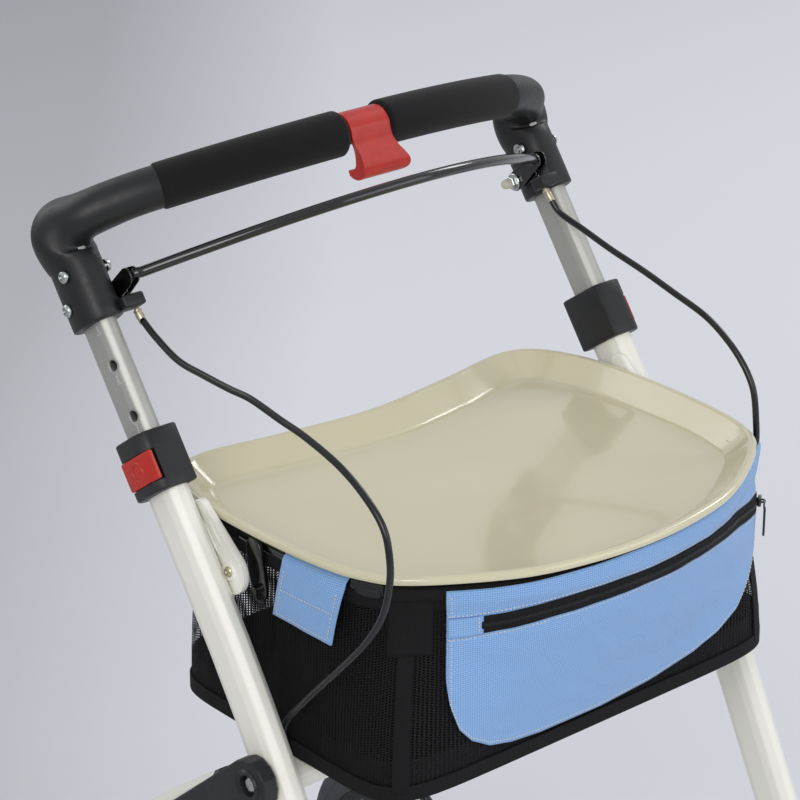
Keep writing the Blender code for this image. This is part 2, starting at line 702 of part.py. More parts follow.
def parking_latch():
    """Red catch that turns on the grip core and hooks the brake bar to park the rollator."""
    low = 0.0010 - GRIP_INNER_ENDS["left"]
    collar_end = GRIP_INNER_ENDS["right"] - 0.0010
    high = 0.0250
    latch = outline_plate("parking_latch", [latch_profile()], high - low, "red_plastic",
                          ((low + high) / 2, HANDLE_Y, HANDLE_HEIGHT), SIDE_PLANE)
    bore = rod_x("latch_bore", CORE_RADIUS + LATCH_PLAY, -0.05, 0.05, HANDLE_Y + 0.0003,
                 HANDLE_HEIGHT - 0.0001, None, 16)
    front = (math.pi / 2, 0, 0)
    right_side = ((collar_end, 0.03), (collar_end, -0.0050), (collar_end + 0.0050, -0.0130),
                  (high - 0.0015, -0.0185),
                  (high + 0.0005, -0.0215), (high + 0.0005, -0.0250), (high - 0.0030, -0.0300),
                  (high - 0.0030, -0.05),
                  (0.05, -0.05), (0.05, 0.03))
    left_side = ((-0.0190, -0.0138), (-0.0190, -0.05), (-0.05, -0.05), (-0.05, -0.0138))
    trims = [outline_plate(f"latch_trim_{index}", [outline], 0.08, None, (0, HANDLE_Y, HANDLE_HEIGHT), front)
             for index, outline in enumerate((right_side, left_side))]
    foam_room = rod_x("latch_foam_room", GRIP_RADIUS + 0.0007, collar_end, 0.05, HANDLE_Y + 0.0003,
                      HANDLE_HEIGHT - 0.0002, None, 24)
    trims.append(foam_room)
    hook_cut = box("latch_hook_cut", (0.030, 0.0130, 0.0140),
                   (0.0190, HANDLE_Y + 0.0008, HANDLE_HEIGHT - 0.0330))
    cut(latch, bore, *trims, hook_cut)
    bevel(latch, 0.0009, 1)
    return smooth(latch)


# Brake bar

def bar_axis(x):
    """The brake bar's axis, in front of the grip."""
    share = (x / 0.2) ** 2
    return Vector((x, -0.0470 + 0.0825 * share, 0.9125 - 0.0501 * share))


ROD_CORNER = 0.1890
ARM_TOP = Vector((0, 0.0305, 0.8655))


def capsule(start, end, start_radius, end_radius, steps=6):
    """Outline round two circles in a side plane, as (y, z) points."""
    run = end - start
    heading = math.atan2(run.y, run.x)
    lean = math.acos((start_radius - end_radius) / run.length)
    points = []
    for centre, radius, first, last in ((end, end_radius, heading - lean, heading + lean),
                                        (start, start_radius, heading + lean, heading - lean + 2 * math.pi)):
        for step in range(steps + 1):
            angle = first + (last - first) * step / steps
            points.append((centre.x + radius * math.cos(angle), centre.y + radius * math.sin(angle)))
    return points


def brake_arm(name, side):
    """Channel-shaped arm from the bar to its pivot, open at the front for the cable's wire."""
    middle = side * (ARM_INNER + ARM_OUTER) / 2
    top = ARM_TOP.yz
    low = Vector((PIVOT_Y, PIVOT_Z))
    arm = outline_plate(f"brake_arm_{name}", [capsule(top, low, 0.0065, 0.0075)], ARM_OUTER - ARM_INNER, None,
                        (middle, 0, 0), SIDE_PLANE)
    channel = outline_plate(f"brake_arm_channel_{name}",
                            [capsule(top + Vector((0.0030, -0.0160)), low + Vector((-0.0160, 0.0010)), 0.0130,
                                     0.0130)],
                            0.0030, None, (middle + side * 0.0010, 0, 0), SIDE_PLANE)
    hole = rod_x(f"brake_arm_hole_{name}", BOLT_RADIUS + GAP, side * 0.18, side * 0.21, PIVOT_Y, PIVOT_Z,
                 None, 16)
    return arm, channel, hole


def brake_bar():
    points = [bar_axis(x * ROD_CORNER / 8) for x in range(-8, 9)]
    ends = []
    for side in (-1, 1):
        corner = Vector((side * 0.1957, 0.0290, 0.8680))
        end = Vector((side * 0.1957, 0.0380, 0.8590))
        start = bar_axis(side * ROD_CORNER)
        bend = [start * (1 - t) ** 2 + corner * 2 * t * (1 - t) + end * t ** 2 for t in (0.3, 0.6, 1.0)]
        ends.append(bend)
    rod = wire("brake_bar", [*reversed(ends[0]), *points, *ends[1]], ROD_RADIUS, "black_paint", 2)
    tools = []
    for name, side in SIDES:
        arm, channel, hole = brake_arm(name, side)
        join(rod, arm)
        tools += [channel, hole]
    cut(rod, *tools)
    return smooth(rod)


def cable_nipple(name, side):
    """Barrel in the arm's channel that holds the end of the brake wire."""
    low = ARM_INNER + 0.0034 + GAP
    high = ARM_INNER + 0.0064 - GAP
    nipple = turned(f"cable_nipple_{name}",
                    ((0, 0.0012), (0.0030, 0.0012), (0.0030, -0.0012), (0, -0.0012)),
                    "zinc_steel", (side * (low + high) / 2, WIRE_TOP.y, WIRE_TOP.z), (0, math.pi / 2, 0), 12)
    return smooth(nipple)


# Brake cables

FERRULE_REACH = 0.0198          # along the wire, from the nipple to the ferrule's top
FERRULE_LENGTH = 0.0085
HINGE_CABLE_X = TUBE_PLANE - OUTER_WIDTH / 2 - CABLE_RADIUS - GAP


def brake_cable(name, side):
    """Wire, ferrule and sheath from the brake arm to the fold hinge."""
    nipple = Vector((side * WIRE_X, WIRE_TOP.y, WIRE_TOP.z))
    marks = ((0.0045, 0.30), (FERRULE_REACH, 0.30), (FERRULE_REACH + 0.0001, 1.30),
             (FERRULE_REACH + FERRULE_LENGTH, 1.30), (FERRULE_REACH + FERRULE_LENGTH + 0.0001, 1.0))
    points = [nipple + reach * WIRE_DIRECTION for reach, _ in marks]
    radii = [factor for _, factor in marks]
    knots = [points[-1]]
    loop = CABLE_LOOPS[name]
    last = len(loop) - 1
    for index, (y, z) in enumerate(loop):
        x = 0.2020
        if index == 0:
            x = 0.1995
        if index >= last - 1:
            x = HINGE_CABLE_X
        knots.append(Vector((side * x, y, z)))
    sheath = smooth_path(knots, 2)[1:]
    points += sheath
    radii += [1.0] * len(sheath)
    cable = wire(f"brake_cable_{name}", points, CABLE_RADIUS, "cable_sheath", 2, radii)
    return smooth(cable)


# Brackets and wire frame under the tray

def basket_bracket(name, side):
    """White drop-shaped holder screwed to the inner face of the front leg."""
    top = on_tube(1, 0, -0.0130, -0.0420).yz
    low = on_tube(1, 0, -0.0170, -0.0900).yz
    plate = outline_plate(f"basket_bracket_{name}", [capsule(top, low, 0.0075, 0.0170)], 0.0050,
                          "white_plastic",
                          (side * 0.2038, 0, 0), SIDE_PLANE)
    bevel(plate, 0.0015, 2, 60)
    screw = turned(f"bracket_screw_{name}", ((0, 0.0016), (0.0030, 0.0014), (0.0042, 0), (0.0042, -0.001),
                                             (0, -0.001)),
                   None, (side * 0.2013, low.x, low.y), (0, -side * math.pi / 2, 0), 16)
    join(plate, screw)
    return smooth(plate)


def outline_point(station, inset=0.0):
    """A point of the tray's outline, drawn in by an inset; stations run once round from the back."""
    return OUTLINE[station % OUTLINE_STATIONS] - inset * OUTLINE_NORMALS[station % OUTLINE_STATIONS]


def trace_outline(count):
    """Evenly shared points round the tray's outline, with their outward normals."""
    half = [Vector((x, y)) for x, y in TRAY_OUTLINE]
    mirrored = [Vector((-point.x, point.y)) for point in reversed(half[1:-1])]
    knots = half + mirrored
    total = len(knots)
    dense = []
    for index in range(total):
        before, start, end, after = (knots[(index + k) % total] for k in (-1, 0, 1, 2))
        for step in range(24):
            t = step / 24
            dense.append(0.5 * (2 * start + (end - before) * t
                                + (2 * before - 5 * start + 4 * end - after) * t ** 2
                                + (3 * start - before - 3 * end + after) * t ** 3))
    lengths = [(b - a).length for a, b in zip(dense, dense[1:] + dense[:1])]
    spacing = sum(lengths) / count
    points = []
    walked = 0.0
    for start, end, length in zip(dense, dense[1:] + dense[:1], lengths):
        while len(points) < count and len(points) * spacing < walked + length + 1e-9:
            share = (len(points) * spacing - walked) / length
            points.append(start + share * (end - start))
        walked += length
    normals = []
    for index, point in enumerate(points):
        chord = points[(index + 1) % count] - points[index - 1]
        normals.append(Vector((-chord.y, chord.x)).normalized())
    return points, normals


OUTLINE_STATIONS = 40
OUTLINE, OUTLINE_NORMALS = trace_outline(OUTLINE_STATIONS)


def outline_ring(inset, z):
    """The outline drawn in by an inset, at a height."""
    points = (outline_point(index, inset) for index in range(OUTLINE_STATIONS))
    return [Vector((point.x, point.y, z)) for point in points]


# Tray section from the skirt's edge to the floor: inset, height under the rim
TRAY_SECTION = ((0.0006, -0.0052), (0.0, -0.0024), (0.0012, -0.0004), (0.0032, 0.0), (0.0062, -0.0012),
                (0.0210, -0.0140), (0.0290, -0.0172))
TRAY_THICKNESS = 0.0028


def tray():
    """Serving tray: raised lip, sloping wall and a flat floor, hooked over the basket frame."""
    build = bmesh.new()
    rings = [[build.verts.new(point) for point in outline_ring(inset, TRAY_RIM_Z + drop)]
             for inset, drop in TRAY_SECTION]
    for outer, inner in zip(rings, rings[1:]):
        for index in range(OUTLINE_STATIONS):
            after = (index + 1) % OUTLINE_STATIONS
            build.faces.new((outer[index], outer[after], inner[after], inner[index]))
    build.faces.new(rings[-1])
    item = link("tray", mesh_from(build), "tray_plastic")
    up = item.data.polygons[-1].normal.z
    shell = item.modifiers.new("shell", "SOLIDIFY")
    shell.thickness = TRAY_THICKNESS
    shell.offset = -1 if up > 0 else 1
    shell.use_even_offset = True
    return smooth(item)


FRAME_WIRE_RADIUS = 0.0040
FRAME_INSET = 0.0125
FRAME_Z = TRAY_RIM_Z - 0.0170


def basket_frame():
    """Closed wire frame that carries the tray and the basket, with an ear at each leg bracket."""
    ring = outline_ring(FRAME_INSET, FRAME_Z)
    curve = bpy.data.curves.new("basket_frame", "CURVE")
    curve.dimensions = "3D"
    curve.bevel_depth = FRAME_WIRE_RADIUS
    curve.bevel_resolution = 1
    spline = curve.splines.new("POLY")
    spline.points.add(len(ring) - 1)
    for point, place in zip(spline.points, ring):
        point.co = (*place, 1)
    spline.use_cyclic_u = True
    frame = curve_to_mesh("basket_frame", curve, "black_paint")
    for name, side in SIDES:
        ear = outline_plate(f"frame_ear_{name}",
                            [capsule(Vector((-0.1040, FRAME_Z - 0.001)), Vector((-0.1090, FRAME_Z - 0.030)),
                                     0.0085, 0.0085)],
                            0.0030, None, (side * 0.1950, 0, 0), SIDE_PLANE)
        stub = rod_x(f"frame_stub_{name}", 0.0035, side * 0.1868, side * 0.1955, -0.1052, FRAME_Z - 0.0011,
                     None, 10)
        rivet = rod_x(f"frame_rivet_{name}", 0.0040, side * 0.1943, side * (0.2013 - GAP), -0.1090,
                      FRAME_Z - 0.030,
                      None, 10)
        join(frame, ear, stub, rivet)
    return smooth(frame)


# Soft goods, as plain closed solids of the right size

BASKET_TOP = FRAME_Z - FRAME_WIRE_RADIUS - 0.0006
BASKET_BOTTOM = 0.5560
BASKET_WALL = 0.0020
BASKET_CENTRE_Y = -0.1220       # middle of its flat bottom
BASKET_HALF_X, BASKET_HALF_Y = 0.1925, 0.1250
BASKET_POWER = 9                # squareness of the bottom


def basket_ring(share, outwards):
    """Points round the basket: the tray's shape at the top, changing to the square bottom."""
    ring = []
    for index in range(OUTLINE_STATIONS):
        top = outline_point(index, FRAME_INSET - 0.0015)
        across = top.x
        along = top.y - BASKET_CENTRE_Y
        reach = math.hypot(across, along)
        heading = (abs(across / reach), abs(along / reach))
        square = (heading[0] / BASKET_HALF_X) ** BASKET_POWER + (heading[1] / BASKET_HALF_Y) ** BASKET_POWER
        scale = square ** (-1 / BASKET_POWER) / reach
        bottom = Vector((across * scale, along * scale + BASKET_CENTRE_Y))
        mix = min(1.0, 1.25 * share)
        place = top.lerp(bottom, mix)
        outward = Vector((across, along)).normalized()
        ring.append(place + outwards * outward)
    return ring


def basket():
    """Mesh shopping basket, open at the top, with a flat square bottom."""
    build = bmesh.new()
    rings = []
    for share in (0.0, 0.4, 0.8, 1.0):
        z = BASKET_TOP + share * (BASKET_BOTTOM - BASKET_TOP)
        rings.append([build.verts.new((point.x, point.y, z)) for point in basket_ring(share, 0.0)])
    for upper, lower in zip(rings, rings[1:]):
        for index in range(OUTLINE_STATIONS):
            after = (index + 1) % OUTLINE_STATIONS
            build.faces.new((upper[index], upper[after], lower[after], lower[index]))
    build.faces.new(rings[-1])
    item = link("basket", mesh_from(build), "black_mesh")
    shell = item.modifiers.new("shell", "SOLIDIFY")
    shell.thickness = BASKET_WALL
    up = item.data.polygons[-1].normal.z
    shell.offset = -1 if up < 0 else 1
    return smooth(item, 60)


POCKET_FIRST, POCKET_LAST = 14, 25      # outline stations that the pocket spans, right to left
# Its lower edge at each of these stations, as a share of the basket's depth
POCKET_LOW_EDGE = (0.34, 0.66, 0.80, 0.84, 0.87, 0.885, 0.895, 0.895, 0.895, 0.887, 0.85, 0.62)
# Its section: share of the way down to the lower edge, fullness there
POCKET_ROWS = ((0.0, 0.0030), (0.25, 0.0065), (0.50, 0.0085), (0.78, 0.0065), (1.0, 0.0030))
POCKET_END_FULLNESS = (0.4, 0.8, 1.0)   # at the end stations, the next ones and all others
POCKET_BACK = 0.0040            # pocket's inner face, off the basket's cloth


def basket_pocket():
    """Blue front pocket, a padded slab that follows the basket's front."""
    inner = []
    outer = []
    build = bmesh.new()
    last = POCKET_LAST - POCKET_FIRST
    for place, low_edge in enumerate(POCKET_LOW_EDGE):
        fullness = POCKET_END_FULLNESS[min(place, last - place, 2)]
        inner_column = []
        outer_column = []
        for share, thickness in POCKET_ROWS:
            down = share * low_edge
            back = basket_ring(down, POCKET_BACK)[POCKET_FIRST + place]
            front = basket_ring(down, POCKET_BACK + 0.0008 + thickness * fullness)[POCKET_FIRST + place]
            z = BASKET_TOP + down * (BASKET_BOTTOM - BASKET_TOP)
            inner_column.append(build.verts.new((back.x, back.y, z)))
            outer_column.append(build.verts.new((front.x, front.y, z)))
        inner.append(inner_column)
        outer.append(outer_column)
    rows = len(POCKET_ROWS)
    for layer in (inner, outer):
        for near, far in zip(layer, layer[1:]):
            for row in range(rows - 1):
                build.faces.new((near[row], near[row + 1], far[row + 1], far[row]))
    for row in (0, rows - 1):
        for place in range(last):
            build.faces.new((inner[place][row], inner[place + 1][row], outer[place + 1][row],
                             outer[place][row]))
    for place in (0, last):
        for row in range(rows - 1):
            build.faces.new((inner[place][row], inner[place][row + 1], outer[place][row + 1],
                             outer[place][row]))
    item = link("basket_pocket", mesh_from(build), "blue_cloth")
    return smooth(item, 60)


def basket_tab(name, side):
    """Blue strap that loops over the frame wire and hangs on the basket's side."""
    tab = box(f"basket_tab_{name}", (0.0022, 0.0740, 0.0520), (side * 0.1955, -0.1610, 0.6870), "blue_cloth")
    bevel(tab, 0.0008, 1)
    return tab


# Cross tube between the front legs

CROSS_Y, CROSS_Z = -0.1440, 0.5420
CROSS_RADIUS = 0.0120


def cross_tube():
    reach = TUBE_PLANE - OUTER_WIDTH / 2 - GAP
    tube = rod_x("cross_tube", CROSS_RADIUS, -reach, reach, CROSS_Y, CROSS_Z, "cream_paint", 16)
    bore = rod_x("cross_tube_bore", CROSS_RADIUS - TUBE_WALL, -0.3, 0.3, CROSS_Y, CROSS_Z, None, 16)
    cut(tube, bore)
    return smooth(tube)


# Rear legs and their fold hinges

REAR_START = Vector((HINGE_Y, HINGE_Z))
REAR_END = Vector((REAR_AXLE_Y, WHEEL_RADIUS))
REAR_START_TILT = math.radians(57.5)
REAR_END_TILT = math.radians(23.0)
REAR_FIRST_SHARE = 0.090        # where the rear tube starts, along its centre line
REAR_DEPTH, REAR_WIDTH = 0.0330, 0.0200


def rear_line(steps):
    """Arched centre line of a rear leg, from the fold pivot to the axle, as (y, z)."""
    run = REAR_END - REAR_START
    a = Vector((math.sin(REAR_START_TILT), -math.cos(REAR_START_TILT)))
    b = Vector((math.sin(REAR_END_TILT), -math.cos(REAR_END_TILT)))
    span = a.x * b.y - a.y * b.x
    reach = (run.x * b.y - run.y * b.x) / span
    corner = REAR_START + reach * a
    return [REAR_START * (1 - t) ** 2 + corner * 2 * t * (1 - t) + REAR_END * t ** 2
            for t in (REAR_FIRST_SHARE + (1 - REAR_FIRST_SHARE) * step / steps for step in range(steps + 1))]


def rear_leg(name, side):
    """Arched rear tube with the stub axle welded through its lower end."""
    leg = swept_oval(f"rear_leg_{name}", rear_line(10), REAR_DEPTH, REAR_WIDTH, side * TUBE_PLANE,
                     "cream_paint")
    boss = rod_x(f"axle_boss_{name}", 0.0165, side * (TUBE_PLANE - 0.0100), side * (TUBE_PLANE + 0.0100),
                 REAR_AXLE_Y, WHEEL_RADIUS, None, 20)
    hub = rod_x(f"axle_hub_{name}", 0.0100, side * (TUBE_PLANE - 0.0120), side * 0.2345, REAR_AXLE_Y,
                WHEEL_RADIUS,
                None, 16)
    axle = rod_x(f"axle_pin_{name}", 0.0060, side * 0.2200, side * 0.2660, REAR_AXLE_Y, WHEEL_RADIUS, None,
                 20)
    line = rear_line(10)
    heading = (line[1] - line[0]).normalized()
    hollow = swept_oval(f"rear_leg_hollow_{name}", [line[0] - 0.010 * heading, *line[1:10]],
                        REAR_DEPTH - 2 * REAR_WALL, REAR_WIDTH - 2 * REAR_WALL, side * TUBE_PLANE)
    cut(leg, hollow)
    join(leg, boss, hub, axle)
    return smooth(leg)


COVER_FAR = Vector((-0.0600, 0.4670))
REAR_WALL = 0.0016
SPIGOT_LENGTH = 0.0400
ARM_PLATE_IN = TUBE_PLANE + OUTER_WIDTH / 2 + 0.0010
ARM_PLATE_OUT = ARM_PLATE_IN + 0.0130


def hinge_arm(name, side):
    """Black moulded hinge half: a cover outside the front leg and a spigot into the rear tube."""
    line = rear_line(10)
    cover = outline_plate(f"hinge_arm_{name}", [capsule(REAR_START, COVER_FAR, 0.0195, 0.0250, 7)],
                          ARM_PLATE_OUT - ARM_PLATE_IN, "black_plastic",
                          (side * (ARM_PLATE_IN + ARM_PLATE_OUT) / 2, 0, 0), SIDE_PLANE)
    bevel(cover, 0.0035, 2, 60)
    boss_profile = ((0.0115, 0.0015), (0.0125, 0.0), (0.0125, -0.002), (0.0085, -0.002), (0.0085, 0.0))
    ring = turned(f"hinge_ring_{name}", boss_profile, None, (side * ARM_PLATE_OUT, HINGE_Y, HINGE_Z),
                  (0, side * math.pi / 2, 0), 16, True)
    recess = rod_x(f"hinge_recess_{name}", 0.0080, side * (ARM_PLATE_OUT - 0.005), side * 0.30, HINGE_Y,
                   HINGE_Z,
                   None, 16)
    bolt_hole = rod_x(f"hinge_arm_hole_{name}", HINGE_BOLT_RADIUS + GAP, side * 0.20, side * 0.30, HINGE_Y,
                      HINGE_Z, None, 16)
    heading = (line[1] - line[0]).normalized()
    spigot = swept_oval(f"hinge_spigot_{name}",
                        [line[0] - 0.001 * heading, line[0] + SPIGOT_LENGTH * heading],
                        REAR_DEPTH - 2 * REAR_WALL - 2 * GAP, REAR_WIDTH - 2 * REAR_WALL - 2 * GAP,
                        side * TUBE_PLANE)
    shoulder = swept_oval(f"hinge_shoulder_{name}", [line[0] - 0.0070 * heading, line[0] - GAP * heading],
                          REAR_DEPTH, REAR_WIDTH, side * TUBE_PLANE)
    web_middle = line[0] - 0.0037 * heading
    web = box(f"hinge_web_{name}", (0.0160, 0.0062, 0.0240),
              (side * (TUBE_PLANE + 0.0100), web_middle.x, web_middle.y),
              None, (math.atan2(heading.y, heading.x), 0, 0))
    cut(cover, bolt_hole)
    join(cover, ring, web, shoulder, spigot)
    cut(cover, recess)
    return smooth(cover)


def hinge_bolt(name, side):
    """Fold pivot: bolt through the front leg, its head recessed in the hinge cover."""
    head = ARM_PLATE_OUT - 0.0050 + GAP
    tail = TUBE_PLANE - OUTER_WIDTH / 2 + GAP
    length = head - tail
    profile = ((0, 0.0030), (0.0045, 0.0026), (0.0070, 0.0010), (0.0070, 0.0), (HINGE_BOLT_RADIUS, 0.0),
               (HINGE_BOLT_RADIUS, -length), (0, -length))
    bolt = turned(f"hinge_bolt_{name}", profile, "zinc_steel", (side * head, HINGE_Y, HINGE_Z),
                  (0, side * math.pi / 2, 0), 16)
    return smooth(bolt)


# Wheels

WHEEL_STEPS = 24
SPOKES = 5


def tyre(name, x, y):
    half = WHEEL_WIDTH / 2
    outer = WHEEL_RADIUS
    profile = ((outer, 0.0), (outer - 0.0025, -half * 0.68), (outer - 0.0120, -half),
               (RIM_RADIUS, -half * 0.88), (RIM_RADIUS, half * 0.88), (outer - 0.0120, half),
               (outer - 0.0025, half * 0.68))
    item = turned(name, profile, "tyre_rubber", (x, y, WHEEL_RADIUS), (0, math.pi / 2, 0), WHEEL_STEPS, True)
    return smooth(item, 50)


def wheel_window(index):
    """Outline of one opening between two spokes, wider towards the rim."""
    points = []
    middle = 2 * math.pi * (index + 0.5) / SPOKES
    for radius, half_angle in ((0.0260, -0.26), (0.0560, -0.47), (0.0615, -0.36), (0.0615, 0.36),
                               (0.0560, 0.47), (0.0260, 0.26)):
        angle = middle + half_angle
        points.append((radius * math.cos(angle), radius * math.sin(angle)))
    return points


def wheel_hub(name, x, y, bore_radius):
    """Moulded wheel: rim, thin web with five spokes left between its windows, and a boss."""
    half = WHEEL_WIDTH / 2
    rim = RIM_RADIUS - GAP
    profile = ((rim, half * 0.80), (rim, -half * 0.80), (0.0655, -0.0040), (0.0180, -0.0040),
               (0.0165, -0.0130), (bore_radius, -0.0130), (bore_radius, 0.0130), (0.0165, 0.0130),
               (0.0180, 0.0040), (0.0655, 0.0040))
    hub = turned(name, profile, "black_plastic", (x, y, WHEEL_RADIUS), (0, math.pi / 2, 0), WHEEL_STEPS, True)
    windows = [outline_plate(f"{name}_window_{index}", [wheel_window(index)], 0.0300, None,
                             (x, y, WHEEL_RADIUS), SIDE_PLANE) for index in range(SPOKES)]
    cut(hub, *windows)
    return smooth(hub)


# Front casters

CROWN_LOW, CROWN_HIGH = 0.2045, 0.2125
FORK_HALF_WIDTH = 0.0180
FORK_PLATE = 0.0040
STEM_RADIUS = 0.0070


def caster_housing(name, side):
    """Leg end: a flat-oval sleeve on the leg that runs down into the round swivel bearing."""
    along = (LEG_PATH[-1] - LEG_PATH[-2]).normalized()
    back = Vector((0, math.cos(LOWER_TILT), -math.sin(LOWER_TILT)))
    rings = []
    count = 16
    top_z = 0.3050
    sections = ((0.0, 0.0145, 0.0225, 2.6, back), (0.45, 0.0150, 0.0230, 2.5, back))
    for share, half_u, half_v, power, across in sections:
        z = top_z + share * (0.262 - top_z)
        centre = Vector((side * TUBE_PLANE, leg_y(z), z))
        rings.append([centre + Vector((u, 0, 0)) + v * across
                      for u, v in superellipse(half_u, half_v, power, count)])
    flat = Vector((0, 1, 0))
    for z, radius, mix in ((0.2600, 0.0210, 0.45), (0.2450, 0.0215, 0.85), (0.2300, 0.0215, 1.0),
                           (CROWN_HIGH + 0.0006, 0.0205, 1.0)):
        y = leg_y(max(z, LEG_END_Z)) * (1 - mix) + SWIVEL_Y * mix
        centre = Vector((side * TUBE_PLANE, y, z))
        slope = (back * (1 - mix) + flat * mix).normalized()
        rings.append([centre + Vector((u, 0, 0)) + v * slope
                      for u, v in superellipse(radius * (0.75 + 0.25 * mix), radius, 2.0 + 0.5 * (1 - mix),
                                               count)])
    housing = loft(f"caster_housing_{name}", rings, "black_plastic")
    top = Vector((leg_y(0.33), 0.33))
    low = LEG_PATH[-1] + along * 0.0006
    socket = swept_oval(f"caster_leg_socket_{name}", [top, low], OUTER_DEPTH + 2 * GAP, OUTER_WIDTH + 2 * GAP,
                        side * TUBE_PLANE)
    stem_bore = turned(f"caster_stem_bore_{name}", ((0, 0.0165), (STEM_RADIUS + GAP, 0.0165),
                                                    (STEM_RADIUS + GAP, -0.02), (0, -0.02)),
                       None, (side * TUBE_PLANE, SWIVEL_Y, CROWN_HIGH + 0.0006), (0, 0, 0), 16)
    cut(housing, socket, stem_bore)
    return smooth(housing, 40)


def caster_fork(name, side):
    """Swivel fork: stem, crown and two tapered plates down to the axle, with the axle bolt."""
    wheel_y = SWIVEL_Y + CASTER_TRAIL
    x = side * TUBE_PLANE
    crown = turned(f"caster_fork_{name}", ((0, CROWN_HIGH + 0.0160), (STEM_RADIUS, CROWN_HIGH + 0.0160),
                                           (STEM_RADIUS, CROWN_HIGH), (0.0200, CROWN_HIGH),
                                           (0.0205, CROWN_HIGH - 0.001),
                                           (0.0205, CROWN_LOW), (0, CROWN_LOW)),
                   "black_plastic", (x, SWIVEL_Y, 0), (0, 0, 0), 16)
    bridge = box(f"fork_bridge_{name}", (2 * FORK_HALF_WIDTH - 0.0016, 0.0380,
                                         CROWN_HIGH - CROWN_LOW - 0.0020),
                 (x, SWIVEL_Y + 0.0060, (CROWN_HIGH + CROWN_LOW) / 2 - 0.0003))
    join(crown, bridge)
    for index, sign in enumerate((-1, 1)):
        plate = outline_plate(f"fork_plate_{name}_{index}",
                              [capsule(Vector((SWIVEL_Y + 0.0070, 0.1915)), Vector((wheel_y, WHEEL_RADIUS)),
                                       0.0205, 0.0125)],
                              FORK_PLATE, None, (x + sign * (FORK_HALF_WIDTH - FORK_PLATE / 2), 0, 0),
                              SIDE_PLANE)
        join(crown, plate)
    axle = rod_x(f"fork_axle_{name}", 0.0040, x - 0.0195, x + 0.0195, wheel_y, WHEEL_RADIUS, None, 12)
    join(crown, axle)
    head_profile = ((0, 0.0022), (0.0050, 0.0018), (0.0064, 0.0), (0.0064, -0.001), (0, -0.001))
    for index, sign in enumerate((-1, 1)):
        head = turned(f"fork_axle_head_{name}_{index}", head_profile, None,
                      (x + sign * FORK_HALF_WIDTH, wheel_y, WHEEL_RADIUS), (0, sign * math.pi / 2, 0), 12)
        join(crown, head)
    return smooth(crown)


# Rear brakes

SHOE_PIVOT_ANGLE = math.radians(24.0)       # forward from the wheel's top
SHOE_ANGLE = math.radians(4.0)
SHOE_PIVOT_RADIUS = 0.1270


def around_wheel(radius, angle):
    """A (y, z) place at a radius from the rear axle, at an angle forward from the top."""
    return REAR_END + Vector((-radius * math.sin(angle), radius * math.cos(angle)))


SHOE_PIVOT = around_wheel(SHOE_PIVOT_RADIUS, SHOE_PIVOT_ANGLE)


def brake_mount(name, side):
    """Bracket on the outer face of the rear leg, with the stub that the brake lever turns on."""
    inside = TUBE_PLANE + REAR_WIDTH / 2 + GAP
    plate = outline_plate(f"brake_mount_{name}",
                          [capsule(SHOE_PIVOT, around_wheel(0.1600, math.radians(26.0)), 0.0105, 0.0085)],
                          0.0040, "black_plastic", (side * (inside + 0.0020), 0, 0), SIDE_PLANE)
    stub = rod_x(f"brake_stub_{name}", 0.0045, side * (inside + 0.001), side * 0.2610, SHOE_PIVOT.x,
                 SHOE_PIVOT.y,
                 None, 16)
    join(plate, stub)
    return smooth(plate)


def brake_shoe(name, side):
    """Lever with the pad that is pulled against the tyre's tread."""
    low_x = TUBE_PLANE + REAR_WIDTH / 2 + GAP + 0.0045
    high_x = 0.2608
    pad = around_wheel(WHEEL_RADIUS + 0.0085, SHOE_ANGLE)
    lever = outline_plate(f"brake_shoe_{name}", [capsule(SHOE_PIVOT, pad, 0.0085, 0.0050)], high_x - low_x,
                          "black_plastic", (side * (low_x + high_x) / 2, 0, 0), SIDE_PLANE)
    bore = rod_x(f"brake_shoe_bore_{name}", 0.0045 + GAP, side * 0.20, side * 0.30, SHOE_PIVOT.x,
                 SHOE_PIVOT.y,
                 None, 16)
    cut(lever, bore)
    return smooth(lever)


def rear_brake_cable(name, side):
    """Cable from the fold hinge down the inner face of the rear leg to the brake lever."""
    x = HINGE_CABLE_X - 0.0004
    line = rear_line(10)
    knots = [Vector((side * x, -0.1500, 0.5280)), Vector((side * x, -0.1400, 0.5150)),
             Vector((side * x, -0.1180, 0.5060))]
    for index in (1, 3, 5, 7):
        along = (line[index + 1] - line[index]).normalized()
        under = Vector((along.y, -along.x))
        place = line[index] + 0.006 * under
        knots.append(Vector((side * x, place.x, place.y)))
    cable = wire(f"rear_brake_cable_{name}", smooth_path(knots, 2), CABLE_RADIUS, "cable_sheath", 2)
    return smooth(cable)


# Build every piece and hang the moving ones on their axes

